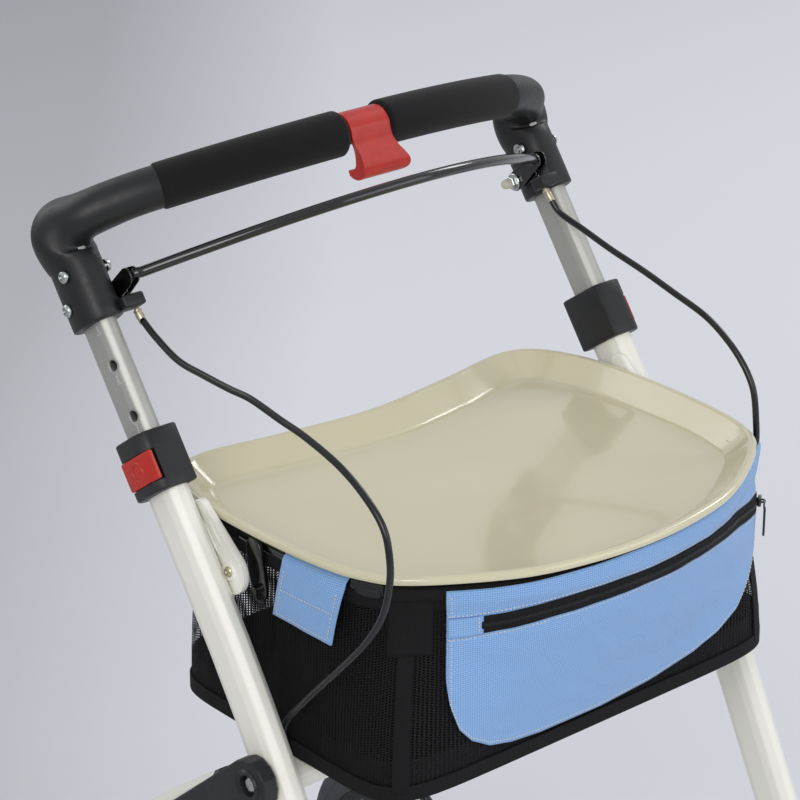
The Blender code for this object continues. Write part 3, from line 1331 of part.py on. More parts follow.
def build():
    left_right = {}
    for name, side in SIDES:
        front_leg(name, side)
        height_collar(name, side)
        basket_bracket(name, side)
        basket_tab(name, side)
        caster_housing(name, side)
        brake_cable(name, side)
        left_right[name] = [inner_tube(name, side), handle_elbow(name, side), foam_grip(name, side),
                            elbow_bolt(name, side), brake_pivot_bolt(name, side)]
    cross_tube()
    basket_frame()
    basket()
    basket_pocket()

    handle = pivot("height_slide", on_tube(1, -TUBE_PLANE, 0, 0))
    hang_on(handle, handle_core(), *left_right["left"], *left_right["right"])
    latch_axis = pivot("latch_axis", (0, HANDLE_Y, HANDLE_HEIGHT))
    hang_on(latch_axis, parking_latch())
    hang_on(handle, latch_axis)
    bar_pivot = pivot("brake_bar_axis", (0, PIVOT_Y, PIVOT_Z))
    hang_on(bar_pivot, brake_bar(), *(cable_nipple(name, side) for name, side in SIDES))
    hang_on(handle, bar_pivot)
    tray_lift = pivot("tray_lift", (0, -0.14, TRAY_RIM_Z))
    hang_on(tray_lift, tray())

    for name, side in SIDES:
        hang_on(pivot(f"button_axis_{name}", on_tube(side, 0, BUTTON_BACK, BUTTON_UP)),
                lock_button(name, side))
        fold = pivot(f"fold_axis_{name}", (side * TUBE_PLANE, HINGE_Y, HINGE_Z))
        hang_on(fold, rear_leg(name, side), hinge_arm(name, side), hinge_bolt(name, side),
                brake_mount(name, side),
                rear_brake_cable(name, side))
        shoe = pivot(f"shoe_axis_{name}", (side * REAR_WHEEL_X, SHOE_PIVOT.x, SHOE_PIVOT.y))
        hang_on(shoe, brake_shoe(name, side))
        rear_axle = pivot(f"rear_axle_{name}", (side * REAR_WHEEL_X, REAR_AXLE_Y, WHEEL_RADIUS))
        hang_on(rear_axle, tyre(f"rear_tyre_{name}", side * REAR_WHEEL_X, REAR_AXLE_Y),
                wheel_hub(f"rear_wheel_{name}", side * REAR_WHEEL_X, REAR_AXLE_Y, 0.0060 + GAP))
        hang_on(fold, shoe, rear_axle)
        swivel = pivot(f"swivel_axis_{name}", (side * TUBE_PLANE, SWIVEL_Y, CROWN_HIGH))
        wheel_y = SWIVEL_Y + CASTER_TRAIL
        front_axle = pivot(f"front_axle_{name}", (side * TUBE_PLANE, wheel_y, WHEEL_RADIUS))
        hang_on(front_axle, tyre(f"front_tyre_{name}", side * TUBE_PLANE, wheel_y),
                wheel_hub(f"front_wheel_{name}", side * TUBE_PLANE, wheel_y, 0.0040 + GAP))
        hang_on(swivel, caster_fork(name, side), front_axle)


build()
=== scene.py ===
"""Indoor rollator: finishes, sewn basket, cables, tray and grip round the built frame, in a plain studio.

Metres, +Z up. The user stands at +Y and walks towards -Y. X = 0 is the middle of the frame.
"""

import json
import math

import bmesh
import bpy
import numpy as np
from mathutils import Matrix, Vector, noise


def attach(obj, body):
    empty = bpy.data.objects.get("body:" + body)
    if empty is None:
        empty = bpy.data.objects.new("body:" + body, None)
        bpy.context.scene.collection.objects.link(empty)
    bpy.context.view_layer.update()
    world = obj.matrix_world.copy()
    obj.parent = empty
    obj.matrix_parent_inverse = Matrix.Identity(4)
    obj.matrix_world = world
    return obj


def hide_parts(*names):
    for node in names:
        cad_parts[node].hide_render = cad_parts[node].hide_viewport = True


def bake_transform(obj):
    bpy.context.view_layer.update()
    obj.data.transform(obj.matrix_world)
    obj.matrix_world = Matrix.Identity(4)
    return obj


bl_info = {
    "name": "Indoor rollator",
    "version": (1, 0, 0),
    "blender": (4, 5, 0),
    "location": "3D View > Sidebar > Rollator",
    "description": "Dresses a folding indoor rollator and sets up its studio",
    "category": "Object",
}

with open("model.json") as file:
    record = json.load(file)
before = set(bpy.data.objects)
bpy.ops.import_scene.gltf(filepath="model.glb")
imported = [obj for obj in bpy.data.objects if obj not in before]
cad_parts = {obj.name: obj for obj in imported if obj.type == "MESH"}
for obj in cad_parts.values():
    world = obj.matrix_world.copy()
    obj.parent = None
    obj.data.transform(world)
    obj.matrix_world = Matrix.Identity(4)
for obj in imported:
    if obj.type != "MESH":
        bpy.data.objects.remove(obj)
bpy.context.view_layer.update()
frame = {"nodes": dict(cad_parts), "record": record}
NODES = frame["nodes"]
SIDES = (("left", -1), ("right", 1))

# Places on the frame

# Axes of the grip and the brake bar: y and z in the middle, and how far both shift at BOW_REACH
HANDLE_MIDDLE, HANDLE_SHIFT = (0.006, 0.940), (0.0488, -0.02695)
BAR_MIDDLE, BAR_SHIFT = (-0.0470, 0.9125), (0.0825, -0.0501)
BOW_REACH = 0.2
TUBE_PLANE = 0.2174                     # half the distance between the side frames
UPPER_TILT = math.radians(35.7)
COLLAR_MIDDLE = np.array((-0.0229, 0.7461))
TUBE_UP = np.array((0, math.sin(UPPER_TILT), math.cos(UPPER_TILT)))
TUBE_BACK = np.array((0, math.cos(UPPER_TILT), -math.sin(UPPER_TILT)))
GRIP_INNER_ENDS = {"left": 0.0255, "right": 0.0125}
GRIP_OUTER_END = 0.1640
TRAY_RIM_Z = 0.7200
WIRE_INSET = 0.0125                     # basket wire, inside the tray's outline
WIRE_Z = TRAY_RIM_Z - 0.0170
BASKET_TOP, BASKET_BOTTOM = 0.6984, 0.5560
BASKET_DEPTH = BASKET_TOP - BASKET_BOTTOM
BASKET_CENTRE_Y = -0.1220
BASKET_HALF_X, BASKET_HALF_Y = 0.1925, 0.1250
BASKET_POWER = 9
WHEEL_RADIUS = 0.1000
WHEEL_CENTRES = {"rear": (0.2490, 0.2720), "front": (0.2174, -0.2700)}      # x, y

# Tray outline, right half, from the middle of the back to the middle of the front
TRAY_OUTLINE = (
    (0.000, 0.001), (0.081, 0.010), (0.147, 0.020), (0.179, 0.004), (0.196, -0.040), (0.200, -0.100),
    (0.197, -0.167), (0.187, -0.210), (0.165, -0.239), (0.105, -0.276), (0.052, -0.291), (0.000, -0.2955),
)

# Brake cables beside the legs, from the ferrule to the fold hinge: y, z
CABLE_LOOPS = {
    "left": (
        (-0.003, 0.830), (-0.032, 0.822), (-0.061, 0.820), (-0.089, 0.819), (-0.112, 0.819),
        (-0.144, 0.814), (-0.171, 0.810), (-0.205, 0.801), (-0.231, 0.788), (-0.249, 0.772),
        (-0.255, 0.753), (-0.255, 0.734), (-0.248, 0.708), (-0.230, 0.680), (-0.203, 0.650),
        (-0.167, 0.612), (-0.146, 0.585), (-0.150, 0.566),
    ),
    "right": (
        (0.007, 0.827), (-0.017, 0.819), (-0.048, 0.811), (-0.081, 0.804), (-0.116, 0.795),
        (-0.149, 0.786), (-0.173, 0.773), (-0.190, 0.758), (-0.200, 0.742), (-0.204, 0.720),
        (-0.205, 0.700), (-0.200, 0.676), (-0.184, 0.646), (-0.160, 0.610), (-0.146, 0.585),
        (-0.150, 0.566),
    ),
}
WIRE_TOP = np.array((0.1972, 0.0365, 0.8575))   # where the brake wire leaves the arm
WIRE_DIRECTION = np.array((0, -1, -1)) / math.sqrt(2)
FERRULE_START, FERRULE_END = 0.0198, 0.0283     # along the wire


def linear(code):
    """sRGB hex to linear red, green and blue."""
    shares = [int(code[at:at + 2], 16) / 255 for at in (0, 2, 4)]
    return tuple(share / 12.92 if share <= 0.04045 else ((share + 0.055) / 1.055) ** 2.4 for share in shares)


# What a user would change

def colour_property(label, description, code):
    return bpy.props.FloatVectorProperty(
        name=label, description=description, subtype="COLOR", size=3, min=0, max=1, default=linear(code)
    )


def length_property(label, description, default):
    return bpy.props.FloatProperty(
        name=label, description=description, subtype="DISTANCE", unit="LENGTH", min=0, default=default
    )


class RollatorColours(bpy.types.PropertyGroup):
    """Colours of the rollator's surfaces."""

    tube: colour_property("Tube paint", "Powder coat on the legs", "F4F3E8")
    height_tube: colour_property("Height tube", "Anodised height tubes", "BDBDB7")
    moulding: colour_property("Black moulding", "Elbows, collars and hinges", "1C1D1E")
    foam: colour_property("Foam", "Foam of the grip", "171718")
    catch: colour_property("Catch", "Red catch and buttons", "BC291E")
    tray: colour_property("Tray", "Serving tray", "D6D0B0")
    bracket: colour_property("Bracket", "White basket brackets", "F0EFE6")
    cloth: colour_property("Cloth", "Woven pocket and straps", "8BB7EC")
    net: colour_property("Net", "Basket net and bindings", "111112")
    thread: colour_property("Thread", "Sewing thread", "E8E4D6")
    tyre: colour_property("Tyre", "Tyre rubber", "46484C")
    floor: colour_property("Floor", "Studio floor and backdrop", "E6E7EC")


class RollatorSizes(bpy.types.PropertyGroup):
    """Sizes of the rollator's dressed pieces."""

    foam_radius: length_property("Foam radius", "Outside radius of the foam grip", 0.0170)
    bar_radius: length_property("Brake bar radius", "Radius of the brake bar's rod", 0.0040)
    cable_radius: length_property("Cable radius", "Outside radius of the brake cable's sheath", 0.0025)
    wire_radius: length_property("Basket wire radius", "Radius of the wire that carries the basket", 0.0040)
    tray_thickness: length_property("Tray thickness", "Wall of the moulded tray", 0.0028)
    weave_pitch: length_property("Weave pitch", "Distance between the pocket's threads", 0.0016)
    net_pitch: length_property("Net pitch", "Distance between the net's rows of holes", 0.0027)
    stitch: length_property("Stitch length", "Length of one stitch with its gap", 0.0030)


def sizes():
    return bpy.context.scene.rollator_sizes


def colours():
    return bpy.context.scene.rollator_colours


# Lines and directions

def unit(way):
    """The same direction or directions, one metre long."""
    return way / np.linalg.norm(way, axis=-1, keepdims=True)


def across_from(way):
    """A direction square to this one."""
    return unit(np.cross(way, (0, 0, 1) if abs(way[2]) < 0.9 else (1, 0, 0)))


def circle(count):
    """Cosines and sines of even steps round a circle."""
    angles = np.linspace(0, 2 * math.pi, count, endpoint=False)
    return np.cos(angles), np.sin(angles)


def ring(place, across, other, radius, sides):
    """Points round a place, in the plane of two directions."""
    cosines, sines = circle(sides)
    return place + radius * (np.outer(cosines, across) + np.outer(sines, other))


def smooth_line(knots, steps):
    """A curve through the knots, with that many steps between two of them."""
    knots = np.asarray(knots, float)
    ends = np.vstack([2 * knots[0] - knots[1], knots, 2 * knots[-1] - knots[-2]])
    line = []
    for before, start, end, after in zip(ends, ends[1:], ends[2:], ends[3:]):
        for t in np.arange(steps) / steps:
            line.append(0.5 * (2 * start + (end - before) * t
                               + (2 * before - 5 * start + 4 * end - after) * t ** 2
                               + (3 * start - before - 3 * end + after) * t ** 3))
    return np.array([*line, knots[-1]])


def walked(line):
    """How far along a line each of its points lies."""
    return np.concatenate([[0], np.cumsum(np.linalg.norm(np.diff(line, axis=0), axis=1))])


def line_length(line):
    return float(walked(line)[-1])


def points_along(line, marks):
    """The points of a line at these distances from its start."""
    far = walked(line)
    return np.stack([np.interp(marks, far, part) for part in line.T], 1)


def even_line(line, spacing):
    """The same line with its points a spacing apart."""
    length = line_length(line)
    return points_along(line, np.linspace(0, length, max(2, round(length / spacing) + 1)))


def tube_rings(line, radii, sides):
    """Rings of points square to a line, carried along it without twisting."""
    line = np.asarray(line, float)
    headings = unit(np.gradient(line, axis=0))
    across = across_from(headings[0])
    rings = []
    for place, heading, radius in zip(line, headings, np.broadcast_to(radii, len(line))):
        across = unit(across - heading * across.dot(heading))
        rings.append(ring(place, across, np.cross(heading, across), radius, sides))
    return np.array(rings)


def wave(x, y, z=0.0):
    """Even, repeatable unevenness between -1 and 1 at places given in steps."""
    flat = np.stack(np.broadcast_arrays(np.asarray(x, float), np.asarray(y, float), float(z)), -1)
    return np.array([noise.noise(Vector(point)) for point in flat.reshape(-1, 3)]).reshape(flat.shape[:-1])


# Meshes

def put(name, data):
    """A new object in the scene."""
    item = bpy.data.objects.new(name, data)
    bpy.context.scene.collection.objects.link(item)
    return item


def piece(name, points, faces, slot, sharp=None):
    """A smooth mesh whose faces look outwards; edges steeper than sharp degrees stay crisp."""
    mesh = bpy.data.meshes.new(name)
    mesh.from_pydata([tuple(map(float, point)) for point in points], [], faces)
    build = bmesh.new()
    build.from_mesh(mesh)
    bmesh.ops.remove_doubles(build, verts=build.verts, dist=1e-6)
    bmesh.ops.recalc_face_normals(build, faces=build.faces)
    build.to_mesh(mesh)
    build.free()
    mesh.materials.append(material(slot))
    mesh.shade_smooth()
    if sharp is not None:
        mesh.set_sharp_from_angle(angle=math.radians(sharp))
    return put(name, mesh)


def grid_faces(rows, columns, around):
    """The faces between rows of points, closed to a tube or left open as a sheet."""
    faces = []
    for row in range(rows - 1):
        for column in range(columns if around else columns - 1):
            after = (column + 1) % columns
            faces.append((row * columns + column, row * columns + after,
                          (row + 1) * columns + after, (row + 1) * columns + column))
    return faces


def skin(name, rings, slot, ends=True, sharp=None):
    """A form through rings of points, with its ends closed or open."""
    rings = np.asarray(rings, float)
    rows, columns = rings.shape[:2]
    faces = grid_faces(rows, columns, True)
    if ends:
        faces += [tuple(first + column for column in range(columns)) for first in (0, (rows - 1) * columns)]
    return piece(name, rings.reshape(-1, 3), faces, slot, sharp)


def sheet_mesh(name, grid, cloth, slot, thickness=0.0):
    """A grid of points that keeps each point's place on the flat cloth, in metres: across and along."""
    rows, columns = grid.shape[:2]
    mesh = bpy.data.meshes.new(name)
    mesh.from_pydata([tuple(map(float, point)) for point in grid.reshape(-1, 3)], [],
                     grid_faces(rows, columns, False))
    places = np.stack(np.broadcast_arrays(*cloth, 0.0), -1).astype(np.float32)
    mesh.attributes.new("cloth", "FLOAT_VECTOR", "POINT").data.foreach_set("vector", places.ravel())
    mesh.materials.append(material(slot))
    mesh.shade_smooth()
    item = put(name, mesh)
    return thicken(item, thickness) if thickness else item


def settle(item):
    """Keeps the mesh that the piece's modifiers give."""
    bpy.context.view_layer.update()
    shown = item.evaluated_get(bpy.context.evaluated_depsgraph_get())
    mesh = bpy.data.meshes.new_from_object(shown)
    item.modifiers.clear()
    item.data = mesh
    return item


def thicken(item, thickness, offset=0.0):
    shell = item.modifiers.new("thickness", "SOLIDIFY")
    shell.thickness = thickness
    shell.offset = offset
    shell.use_even_offset = True
    return settle(item)


def round_edges(item, width, segments=3, steep=30):
    """Rounds the edges that are steeper than that many degrees."""
    rounding = item.modifiers.new("edges", "BEVEL")
    rounding.width = width
    rounding.segments = segments
    rounding.limit_method = "ANGLE"
    rounding.angle_limit = math.radians(steep)
    return settle(item)


def joined(name, items):
    """One piece from several."""
    build = bmesh.new()
    finishes = []
    for item in items:
        finish_used = item.data.materials[0]
        if finish_used not in finishes:
            finishes.append(finish_used)
        first = len(build.faces)
        build.from_mesh(item.data)
        build.faces.ensure_lookup_table()
        for face in build.faces[first:]:
            face.material_index = finishes.index(finish_used)
    mesh = bpy.data.meshes.new(name)
    build.to_mesh(mesh)
    build.free()
    for finish_used in finishes:
        mesh.materials.append(finish_used)
    for item in items:
        bpy.data.objects.remove(item)
    return put(name, mesh)


# Simple forms

def rod(name, line, radii, slot, sides=16, sharp=None):
    return skin(name, tube_rings(line, radii, sides), slot, True, sharp)


def many_rods(name, lines, radii, slot, sides=6):
    """One piece from many small rods that are alike."""
    points, faces = [], []
    rows = len(radii)
    ends = [tuple(first + side for side in range(sides)) for first in (0, (rows - 1) * sides)]
    for line in lines:
        base = len(points)
        points.extend(tube_rings(line, radii, sides).reshape(-1, 3))
        faces += [tuple(base + corner for corner in face) for face in grid_faces(rows, sides, True) + ends]
    return piece(name, points, faces, slot)


def turned(name, profile, place, axis, slot, steps=32, sharp=35):
    """A profile of (radius, distance along the axis) turned round an axis."""
    axis = unit(np.asarray(axis, float))
    across = across_from(axis)
    other = np.cross(axis, across)
    rings = [ring(np.asarray(place, float) + along * axis, across, other, radius, steps)
             for radius, along in profile]
    return skin(name, rings, slot, False, sharp)


def round_block(name, size, place, turn, slot, edge, segments=3):
    """A block with rounded edges, turned about X."""
    half = np.asarray(size, float) / 2
    corners = [half * (x, y, z) for x in (-1, 1) for y in (-1, 1) for z in (-1, 1)]
    faces = [(0, 1, 3, 2), (4, 6, 7, 5), (0, 4, 5, 1), (2, 3, 7, 6), (0, 2, 6, 4), (1, 5, 7, 3)]
    matrix = np.array(Matrix.Rotation(turn, 3, "X"))
    points = [matrix @ corner + place for corner in corners]
    return round_edges(piece(name, points, faces, slot), edge, segments)


def capsule(start, end, start_radius, end_radius, steps=10):
    """Outline round two circles in a side plane, as (y, z) points."""
    start, end = np.asarray(start, float), np.asarray(end, float)
    run = end - start
    heading = math.atan2(run[1], run[0])
    lean = math.acos((start_radius - end_radius) / np.linalg.norm(run))
    points = []
    for centre, radius, first, last in ((end, end_radius, heading - lean, heading + lean),
                                        (start, start_radius, heading + lean, heading - lean + 2 * math.pi)):
        angles = np.linspace(first, last, steps)
        points += list(centre + radius * np.stack([np.cos(angles), np.sin(angles)], 1))
    return points


def side_plate(name, outline, x_low, x_high, slot, edge):
    """A flat piece cut to an outline of (y, z) points, with rounded edges."""
    count = len(outline)
    points = [(x, y, z) for x in (x_low, x_high) for y, z in outline]
    faces = grid_faces(2, count, True) + [tuple(range(count)), tuple(range(count, 2 * count))]
    item = round_edges(piece(name, points, faces, slot), edge, steep=50)
    item.data.shade_smooth()
    item.data.set_sharp_from_angle(angle=math.radians(40))
    return item


def along_tube(name, side, layers, slot):
    """A form through sections square to the upper tube; the right one is the left one turned half round."""
    rings = [[on_tube(side, across, -side * back, up) for across, back in section] for section, up in layers]
    return skin(name, rings, slot, True, 32)


def drawn_in(section, inset):
    """A section with every point moved towards its middle."""
    points = np.array(section)
    middle = (points.min(0) + points.max(0)) / 2
    half = (points.max(0) - points.min(0)) / 2
    return middle + (points - middle) * (1 - inset / half)


def rounded_ends(section, middle, half, rounding):
    """The layers at a form's low and high end, by each step's inset and its rise from the end."""
    low = [(drawn_in(section, inset), middle - half + rise) for inset, rise in rounding]
    high = [(drawn_in(section, inset), middle + half - rise) for inset, rise in reversed(rounding)]
    return low, high


# Where things run

def on_tube(side, across, back, up):
    """A point by the upper tube: outwards, to the tube's back and up, from the collar's middle."""
    return np.array((side * (TUBE_PLANE + across), *COLLAR_MIDDLE)) + back * TUBE_BACK + up * TUBE_UP


def bowed(x, middle, shift):
    """An axis from side to side that bows backwards and down towards its ends."""
    x = np.asarray(x, float)
    share = (x / BOW_REACH) ** 2
    return np.stack([x, middle[0] + shift[0] * share, middle[1] + shift[1] * share], -1)


def trace_outline(count):
    """Points evenly round the tray from the middle of its back, and the way out at each."""
    half = [np.array(point) for point in TRAY_OUTLINE]
    knots = half + [point * (-1, 1) for point in reversed(half[1:-1])]
    closed = smooth_line(knots[-3:] + knots + knots[:3], 24)[3 * 24:-2 * 24]
    points = points_along(closed, np.arange(count) * line_length(closed) / count)
    chords = np.roll(points, -1, 0) - np.roll(points, 1, 0)
    return points, unit(np.stack([-chords[:, 1], chords[:, 0]], 1))


OUTLINE_COUNT = 720
OUTLINE, OUTWARDS = trace_outline(OUTLINE_COUNT)


def outline_at(turn, inset):
    """The tray's outline, drawn in by an inset, at a share of the way round from the back."""
    place = np.mod(np.asarray(turn, float), 1) * OUTLINE_COUNT
    low = np.floor(place).astype(int) % OUTLINE_COUNT
    high = (low + 1) % OUTLINE_COUNT
    share = (place - np.floor(place))[..., None]
    line = OUTLINE[low] * (1 - share) + OUTLINE[high] * share
    away = OUTWARDS[low] * (1 - share) + OUTWARDS[high] * share
    return line - np.asarray(inset, float)[..., None] * away


def wire_at(turn, aside=0.0, lift=0.0):
    """A place on the basket's wire, drawn aside outwards and lifted."""
    flat = outline_at(turn, WIRE_INSET - np.asarray(aside))
    return np.concatenate([flat, np.broadcast_to(WIRE_Z + np.asarray(lift), flat.shape[:-1])[..., None]], -1)


def wire_sleeve(name, turns, radii, sides, slot, uneven=0.0, ends=True):
    """A skin round a stretch of the basket's wire."""
    cosines, sines = circle(sides)
    rings = []
    for turn, radius in zip(turns, np.broadcast_to(radii, len(turns))):
        size = radius * (1 + uneven * wave(turn * 90, sines * 1.5, 9.0)) if uneven else radius
        rings.append(wire_at(np.full(sides, turn), size * cosines, size * sines))
    return skin(name, rings, slot, ends, 60)


def wire_reach(y):
    """How far from the middle the basket's wire runs, at a place from front to back."""
    stretch = wire_at(np.linspace(0.20, 0.34, 80))
    return np.interp(-np.asarray(y, float), -stretch[:, 1], stretch[:, 0])


def basket_at(turn, down, outwards):
    """A place on the basket: share round from the back, share of its depth, distance off the cloth."""
    turn, down, outwards = np.broadcast_arrays(*(np.asarray(part, float) for part in (turn, down, outwards)))
    top = outline_at(turn, WIRE_INSET - 0.0015)
    across, along = top[..., 0], top[..., 1] - BASKET_CENTRE_Y
    reach = np.hypot(across, along)
    x, y = np.abs(across / reach), np.abs(along / reach)
    span = (x / BASKET_HALF_X) ** BASKET_POWER + (y / BASKET_HALF_Y) ** BASKET_POWER
    scale = span ** (-1 / BASKET_POWER) / reach
    bottom = np.stack([across * scale, along * scale + BASKET_CENTRE_Y], -1)
    blend = np.clip(1.25 * down, 0, 1)
    blend = np.where(down > 0, blend - 0.06 * np.exp(-((down - 0.8) / 0.09) ** 2), 0)[..., None]
    away = np.stack([across, along], -1) / reach[..., None]
    place = top * (1 - blend) + bottom * blend + outwards[..., None] * away
    return np.concatenate([place, (BASKET_TOP - down * BASKET_DEPTH)[..., None]], -1)


# Materials

def add_node(tree, kind, values=None, links=None, **settings):
    """One shader node with its settings, its sockets' values and what feeds them."""
    node = tree.nodes.new(kind)
    for key, value in settings.items():
        setattr(node, key, value)
    for socket, value in (values or {}).items():
        node.inputs[socket].default_value = value
    for socket, source in (links or {}).items():
        tree.links.new(source, node.inputs[socket])
    return node


def finish(name, colour, roughness, **sockets):
    """A material with even values on its shader; returns it, the shader and the coordinates."""
    made = bpy.data.materials.new(name)
    made.use_nodes = True
    shader = made.node_tree.nodes["Principled BSDF"]
    for socket, value in {"Base_Color": (*colour, 1), "Roughness": roughness, **sockets}.items():
        shader.inputs[socket.replace("_", " ")].default_value = value
    return made, shader, add_node(made.node_tree, "ShaderNodeTexCoord").outputs["Object"]


def feed(shader, socket, source):
    shader.id_data.links.new(source, shader.inputs[socket])


def spots(place, size, detail):
    """Soft noise whose blotches are about that many metres across."""
    return add_node(place.id_data, "ShaderNodeTexNoise", {"Scale": 1 / size, "Detail": detail},
                    {"Vector": place}).outputs["Fac"]


def spread(source, low, high, from_low=0.3, from_high=0.7):
    """A noise's middle values spread between two values."""
    return add_node(source.id_data, "ShaderNodeMapRange",
                    {"From Min": from_low, "From Max": from_high, "To Min": low, "To Max": high},
                    {"Value": source}).outputs["Result"]


def tint(source, dark, light):
    """A colour between two, by a share."""
    return add_node(source.id_data, "ShaderNodeMix", {6: (*dark, 1), 7: (*light, 1)}, {0: source},
                    data_type="RGBA").outputs[2]


def shade(colour, factor):
    return tuple(min(1.0, part * factor) for part in colour)


def relief(shader, height, depth, rounded=None):
    """Bump of that depth in metres, over normals that may be rounded across the built facets."""
    tree = shader.id_data
    bump = add_node(tree, "ShaderNodeBump", {"Strength": 1.0, "Distance": depth}, {"Height": height})
    if rounded is not None:
        soft = add_node(tree, "ShaderNodeBevel", {"Radius": rounded}, samples=8)
        tree.links.new(soft.outputs["Normal"], bump.inputs["Normal"])
    feed(shader, "Normal", bump.outputs["Normal"])


def patterned(name, colour, roughness, mottle=None, dull=None, bump=None, **sockets):
    """A material with noise in its colour, its roughness and its height.

    Each noise starts with the size of its blotches in metres and its detail. The mottle ends with two colours
    or two shades of the main one, the dulling with two roughnesses, the bump with what relief takes.
    """
    made, shader, place = finish(name, colour, roughness, **sockets)
    if mottle:
        dark, light = (end if isinstance(end, tuple) else shade(colour, end) for end in mottle[2:])
        feed(shader, "Base Color", tint(spread(spots(place, *mottle[:2]), 0, 1), dark, light))
    if dull:
        feed(shader, "Roughness", spread(spots(place, *dull[:2]), *dull[2:]))
    if bump:
        relief(shader, spots(place, *bump[:2]), *bump[2:])
    return made


def powder_coated_tube():
    """Powder coat on aluminium tube: a thick gloss skin with a faint orange peel and uneven shine."""
    # orange peel about 1.6 mm from crest to crest
    return patterned("powder_coated_tube", colours().tube, 0.34, mottle=(0.05, 3, 0.98, 1.0),
                     dull=(0.006, 3, 0.32, 0.37), bump=(0.0016, 1, 0.00002, 0.0040),
                     Coat_Weight=0.2, Coat_Roughness=0.15)


def anodised_tube():
    """Brushed and clear anodised aluminium: a soft metal sheen drawn out along the tube."""
    colour = colours().height_tube
    made, shader, place = finish("anodised_tube", colour, 0.36, Metallic=0.75)
    # brush lines are 0.3 mm across the tube and 40 mm along it
    drawn_out = add_node(place.id_data, "ShaderNodeMapping",
                         {"Rotation": (-UPPER_TILT, 0, 0), "Scale": (1, 1, 130)},
                         {"Vector": place}, vector_type="TEXTURE").outputs["Vector"]
    lines = spots(drawn_out, 0.0003, 2)
    feed(shader, "Base Color", tint(spread(lines, 0, 1), shade(colour, 0.9), colour))
    feed(shader, "Roughness", spread(lines, 0.46, 0.58))
    relief(shader, lines, 0.00001, 0.0035)
    return made


def moulded_nylon(name, colour, roughness, grain, depth):
    """Glass-filled nylon from a spark-eroded mould: an even fine grain that breaks up the highlights."""
    return patterned(name, colour, roughness, mottle=(0.03, 4, 0.86, 1.1),
                     dull=(0.004, 4, roughness - 0.06, roughness + 0.06), bump=(grain, 2, depth),
                     Specular_IOR_Level=0.4)


def grip_foam():
    """Closed-cell rubber foam with a sanded skin: dead matt, with fine open pores darkened by painted shade.
    """
    colour = colours().foam
    made, shader, place = finish("grip_foam", colour, 0.96, Sheen_Weight=0.08, Sheen_Roughness=0.5,
                                 Specular_IOR_Level=0.25)
    # real pores are 0.3 mm; they are drawn at 0.7 mm to show at this size
    cells = add_node(place.id_data, "ShaderNodeTexVoronoi", {"Scale": 1 / 0.0007},
                     {"Vector": place}).outputs["Distance"]
    # painted shade: darker where the pores sink in, lighter on the skin between them
    feed(shader, "Base Color", tint(spread(cells, 0, 1, 0.1, 0.6), shade(colour, 1.35), shade(colour, 0.75)))
    relief(shader, cells, -0.00012)
    return made


def coated_rod():
    """Black plastic-dipped steel rod: deep gloss with small ripples in the coat."""
    return patterned("coated_rod", linear("0A0A0B"), 0.16, dull=(0.008, 3, 0.11, 0.2),
                     bump=(0.004, 1, 0.00004), Coat_Weight=0.5, Coat_Roughness=0.05)


def moulded_abs_red():
    """Red ABS from a polished mould, scuffed where fingers press it."""
    return patterned("moulded_abs_red", colours().catch, 0.36, mottle=(0.012, 4, 0.88, 1.05),
                     dull=(0.0025, 5, 0.28, 0.46), bump=(0.0006, 2, 0.00002))


def zinc_plate():
    """Bright zinc on steel fastenings: a cool metal with a slightly cloudy passivation."""
    return patterned("zinc_plate", linear("BFC3C4"), 0.26, dull=(0.002, 4, 0.18, 0.36),
                     mottle=(0.002, 4, linear("A9ACA8"), linear("CDD1D3")), Metallic=1.0)


def turned_brass():
    """Nickel-dulled brass cable end, with the lathe's fine rings."""
    return patterned("turned_brass", linear("CBC2A9"), 0.28, dull=(0.0004, 1, 0.2, 0.4),
                     bump=(0.0004, 1, 0.00002), Metallic=1.0)


def glossy_tray():
    """Vacuum-formed acrylic-capped ABS: high gloss, with a faint unevenness under the shine."""
    return patterned("glossy_tray", colours().tray, 0.16, mottle=(0.09, 2, 0.97, 1.01),
                     dull=(0.02, 4, 0.11, 0.2), bump=(0.012, 1, 0.00006),
                     Coat_Weight=0.5, Coat_Roughness=0.05)


def sewing_thread():
    """Twisted polyester thread, slightly shiny."""
    return patterned("sewing_thread", colours().thread, 0.6, mottle=(0.0006, 2, 0.75, 1.0))


def tyre_rubber():
    """Moulded grey rubber: matt, dusty in random blotches, with a stipple from the mould."""
    return patterned("tyre_rubber", colours().tyre, 0.8, mottle=(0.015, 5, 0.8, 1.25),
                     dull=(0.015, 5, 0.7, 0.9), bump=(0.0008, 2, 0.00012), Specular_IOR_Level=0.3)


def cable_sheath():
    """Extruded PVC sheath over the brake wire: smooth, black and shiny."""
    return patterned("cable_sheath", linear("131314"), 0.25, dull=(0.01, 3, 0.2, 0.34),
                     bump=(0.002, 2, 0.00002))


def cap_nylon():
    """Natural nylon cap, milky and slightly see-through."""
    return patterned("cap_nylon", linear("E4E2D2"), 0.35, dull=(0.001, 3, 0.28, 0.45),
                     Transmission_Weight=0.25)


def printed_mark():
    """White pad-printed ink, thin enough to show worn spots."""
    return patterned("printed_mark", linear("F2F2EE"), 0.6,
                     mottle=(0.0008, 3, linear("C9C9C5"), linear("F6F6F2")))


def zip_coil():
    """Black nylon coil of the zip: small shiny loops."""
    return patterned("zip_coil", linear("1A1A1B"), 0.32, dull=(0.0012, 2, 0.24, 0.42))


def reckon(operation, *terms):
    """One arithmetic step on numbers or other steps."""
    tree = next(term.id_data for term in terms if not isinstance(term, (int, float)))
    numbers = {at: term for at, term in enumerate(terms) if isinstance(term, (int, float))}
    steps = {at: term for at, term in enumerate(terms) if at not in numbers}
    return add_node(tree, "ShaderNodeMath", numbers, steps, operation=operation).outputs[0]


def times(first, second):
    return reckon("MULTIPLY", first, second)


def plus(first, second):
    return reckon("ADD", first, second)


